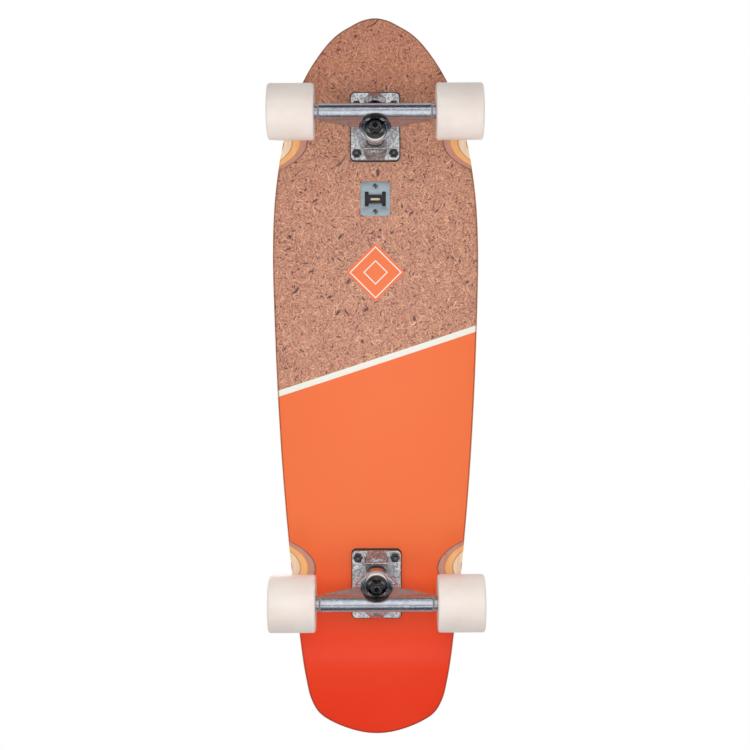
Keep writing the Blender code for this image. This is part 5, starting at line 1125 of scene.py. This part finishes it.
for end in ENDS:
    for number, corner in enumerate(CORNERS, start=1):
        at_bolt = truck_frame(end) @ in_truck(corner)
        recess = moved(cross_recess(**BOLT_CROSS),
                       Matrix.Translation((0.0, 0.0, BOLT_TOP * MM)) @ upside_down)
        head = shape_of(carved("bolt_head", lathe(bolt_profile, 48), removed=[recess]))
        thread = moved(threaded(BOLT_SHANK, low=-THREAD_START, high=-BOLT_TIP, **BOLT_THREAD), upside_down)
        shown(f"{end}_deck_bolt_{number}", gathered("deck_bolt", [head, thread]), black_zinc, "board",
              f"{end}_bolt_{number}", matrix=at_bolt)
        shown(f"{end}_bolt_nut_{number}", bare_mesh("bolt_nut", nut_shape(**BOLT_NUT)), black_zinc,
              "board", f"{end}_lock_nut_{number}",
              matrix=at_bolt @ Matrix.Translation((0.0, 0.0, BOLT_NUT_AT * MM)) @ upside_down)

# The photographer's table: a plain pale floor that only a camera above it sees, darker where the board
# shades it, a pale room, soft lamps below and above the board, and the camera straight below it.
FLOOR_HALF = 6.0
PANEL_Z, KEY_Z, STRIP_X, KEY_X = -0.62, -0.64, 0.70, 0.13
PANEL = {"length": 0.74, "width": 1.2, "level": 1.08}
STRIP = {"length": 0.22, "width": 1.2, "level": 1.95}
KEY = {"length": 0.25, "width": 0.30, "level": 3.5}
ABOVE, LAMP_ABOVE = Vector((0.3, -0.7, 1.6)), {"length": 1.2, "width": 1.2, "level": 2.4}
CAMERA_X, CAMERA_Y, CAMERA_LOW, CAMERA_ROLL = 0.0997, -0.0007, 1.650, math.radians(-0.19)
CAMERA_SENSOR, CAMERA_LENS, CAMERA_SHIFT, CAMERA_REACH = 36.0, 70.56, -85 / 750, 20.0


def grey(level):
    return (level, level, level, 1.0)


def soft_lamp(name, matrix, length, width, level, on_gloss=True):
    """A flat lamp that the camera doesn't see; level is how bright its face is."""
    lamp = bpy.data.lights.new(name, "AREA")
    lamp.shape = "RECTANGLE"
    lamp.size, lamp.size_y = length, width
    lamp.energy = level * math.pi * length * width
    made = bpy.data.objects.new(name, lamp)
    made.matrix_world = matrix
    made.visible_camera = False
    made.visible_glossy = on_gloss
    bpy.context.scene.collection.objects.link(made)


def facing_up(x, z):
    return Matrix.Translation((x, 0.0, z)) @ upside_down


floor_shape = bmesh.new()
bmesh.ops.create_grid(floor_shape, x_segments=1, y_segments=1, size=FLOOR_HALF)
floor = bpy.data.objects.new("studio_floor", bare_mesh("studio_floor", floor_shape))
bpy.context.scene.collection.objects.link(floor)
floor_finish = bpy.data.materials.new("studio_floor")
floor_finish.use_nodes = True
tree = floor_finish.node_tree
tree.nodes.remove(tree.nodes["Principled BSDF"])
# the floor glows by itself: its shadow under the board is painted, darker where the board hides more of the
# sky close by and further off
near_sky, wide_sky = [put(tree, "ShaderNodeAmbientOcclusion", {"Distance": reach}, samples=12).outputs["AO"]
                      for reach in (0.28, 1.2)]
shade = ramped(tree, maths(tree, "MULTIPLY", near_sky, wide_sky), (
    (0.0, hue(98, 97, 98)), (0.35, hue(176, 176, 178)), (0.7, hue(228, 228, 229)),
    (0.96, hue(255, 255, 255))))
pale = put(tree, "ShaderNodeEmission", {"Color": shade, "Strength": 1.0}).outputs[0]
clear = put(tree, "ShaderNodeBsdfTransparent").outputs[0]
from_camera = put(tree, "ShaderNodeLightPath").outputs["Is Camera Ray"]
back = put(tree, "ShaderNodeNewGeometry").outputs["Backfacing"]
seen = maths(tree, "MULTIPLY", from_camera, maths(tree, "SUBTRACT", 1.0, back))
either = put(tree, "ShaderNodeMixShader", {0: seen, 1: clear, 2: pale}).outputs[0]
tree.links.new(either, tree.nodes["Material Output"].inputs["Surface"])
floor.data.materials.append(floor_finish)

room = bpy.data.worlds.new("pale_room")
room.use_nodes = True
bpy.context.scene.world = room
tree = room.node_tree
tree.nodes.clear()
rays = put(tree, "ShaderNodeLightPath").outputs
way = put(tree, "ShaderNodeSeparateXYZ", {0: put(tree, "ShaderNodeTexCoord").outputs["Generated"]}).outputs
height = put(tree, "ShaderNodeMapRange", {0: way[2], 1: -1.0, 2: 1.0}).outputs[0]
mirrored = ramped(tree, height, (
    (0.0, (0.20, 0.21, 0.22, 1.0)), (0.10, (0.05, 0.055, 0.07, 1.0)), (0.46, (0.03, 0.035, 0.05, 1.0)),
    (0.52, (0.55, 0.55, 0.57, 1.0)), (1.0, grey(0.85))))
sideways = stepped(tree, maths(tree, "ABSOLUTE", way[1]), 0.35, 0.85)
mirrored = mixed(tree, sideways, mirrored, (0.80, 0.80, 0.82, 1.0))
ambient = ramped(tree, height, (
    (0.0, grey(0.06)), (0.18, grey(0.10)), (0.30, grey(0.62)), (0.5, grey(0.74)), (1.0, grey(0.60))))
glossy, soft, white = [put(tree, "ShaderNodeBackground", {"Color": colour, "Strength": 1.0}).outputs[0]
                       for colour in (mirrored, ambient, grey(1.0))]
unseen = put(tree, "ShaderNodeMixShader", {0: rays["Is Glossy Ray"], 1: soft, 2: glossy}).outputs[0]
whole = put(tree, "ShaderNodeMixShader", {0: rays["Is Camera Ray"], 1: unseen, 2: white}).outputs[0]
tree.links.new(whole, put(tree, "ShaderNodeOutputWorld").inputs["Surface"])

soft_lamp("panel_below", facing_up(0.0, PANEL_Z), **PANEL)
for side in (-1, 1):
    soft_lamp("strip_below", facing_up(side * STRIP_X, PANEL_Z), **STRIP)
    soft_lamp("key_below", facing_up(side * KEY_X, KEY_Z), on_gloss=False, **KEY)
to_board = (-ABOVE).to_track_quat("-Z", "Y").to_matrix().to_4x4()
soft_lamp("lamp_above", Matrix.Translation(ABOVE) @ to_board, **LAMP_ABOVE)

camera = bpy.data.objects.new("camera", bpy.data.cameras.new("camera"))
bpy.context.scene.collection.objects.link(camera)
camera.data.sensor_width = CAMERA_SENSOR
camera.data.lens = CAMERA_LENS
camera.data.shift_y = CAMERA_SHIFT
camera.data.clip_end = CAMERA_REACH
camera.matrix_world = (Matrix.Translation((CAMERA_X, CAMERA_Y, DECK_BOTTOM - CAMERA_LOW))
                       @ Matrix.Rotation(math.pi / 2, 4, "Z") @ upside_down
                       @ Matrix.Rotation(CAMERA_ROLL, 4, "Z"))
bpy.context.scene.camera = camera
bpy.context.scene.view_settings.view_transform = "Standard"
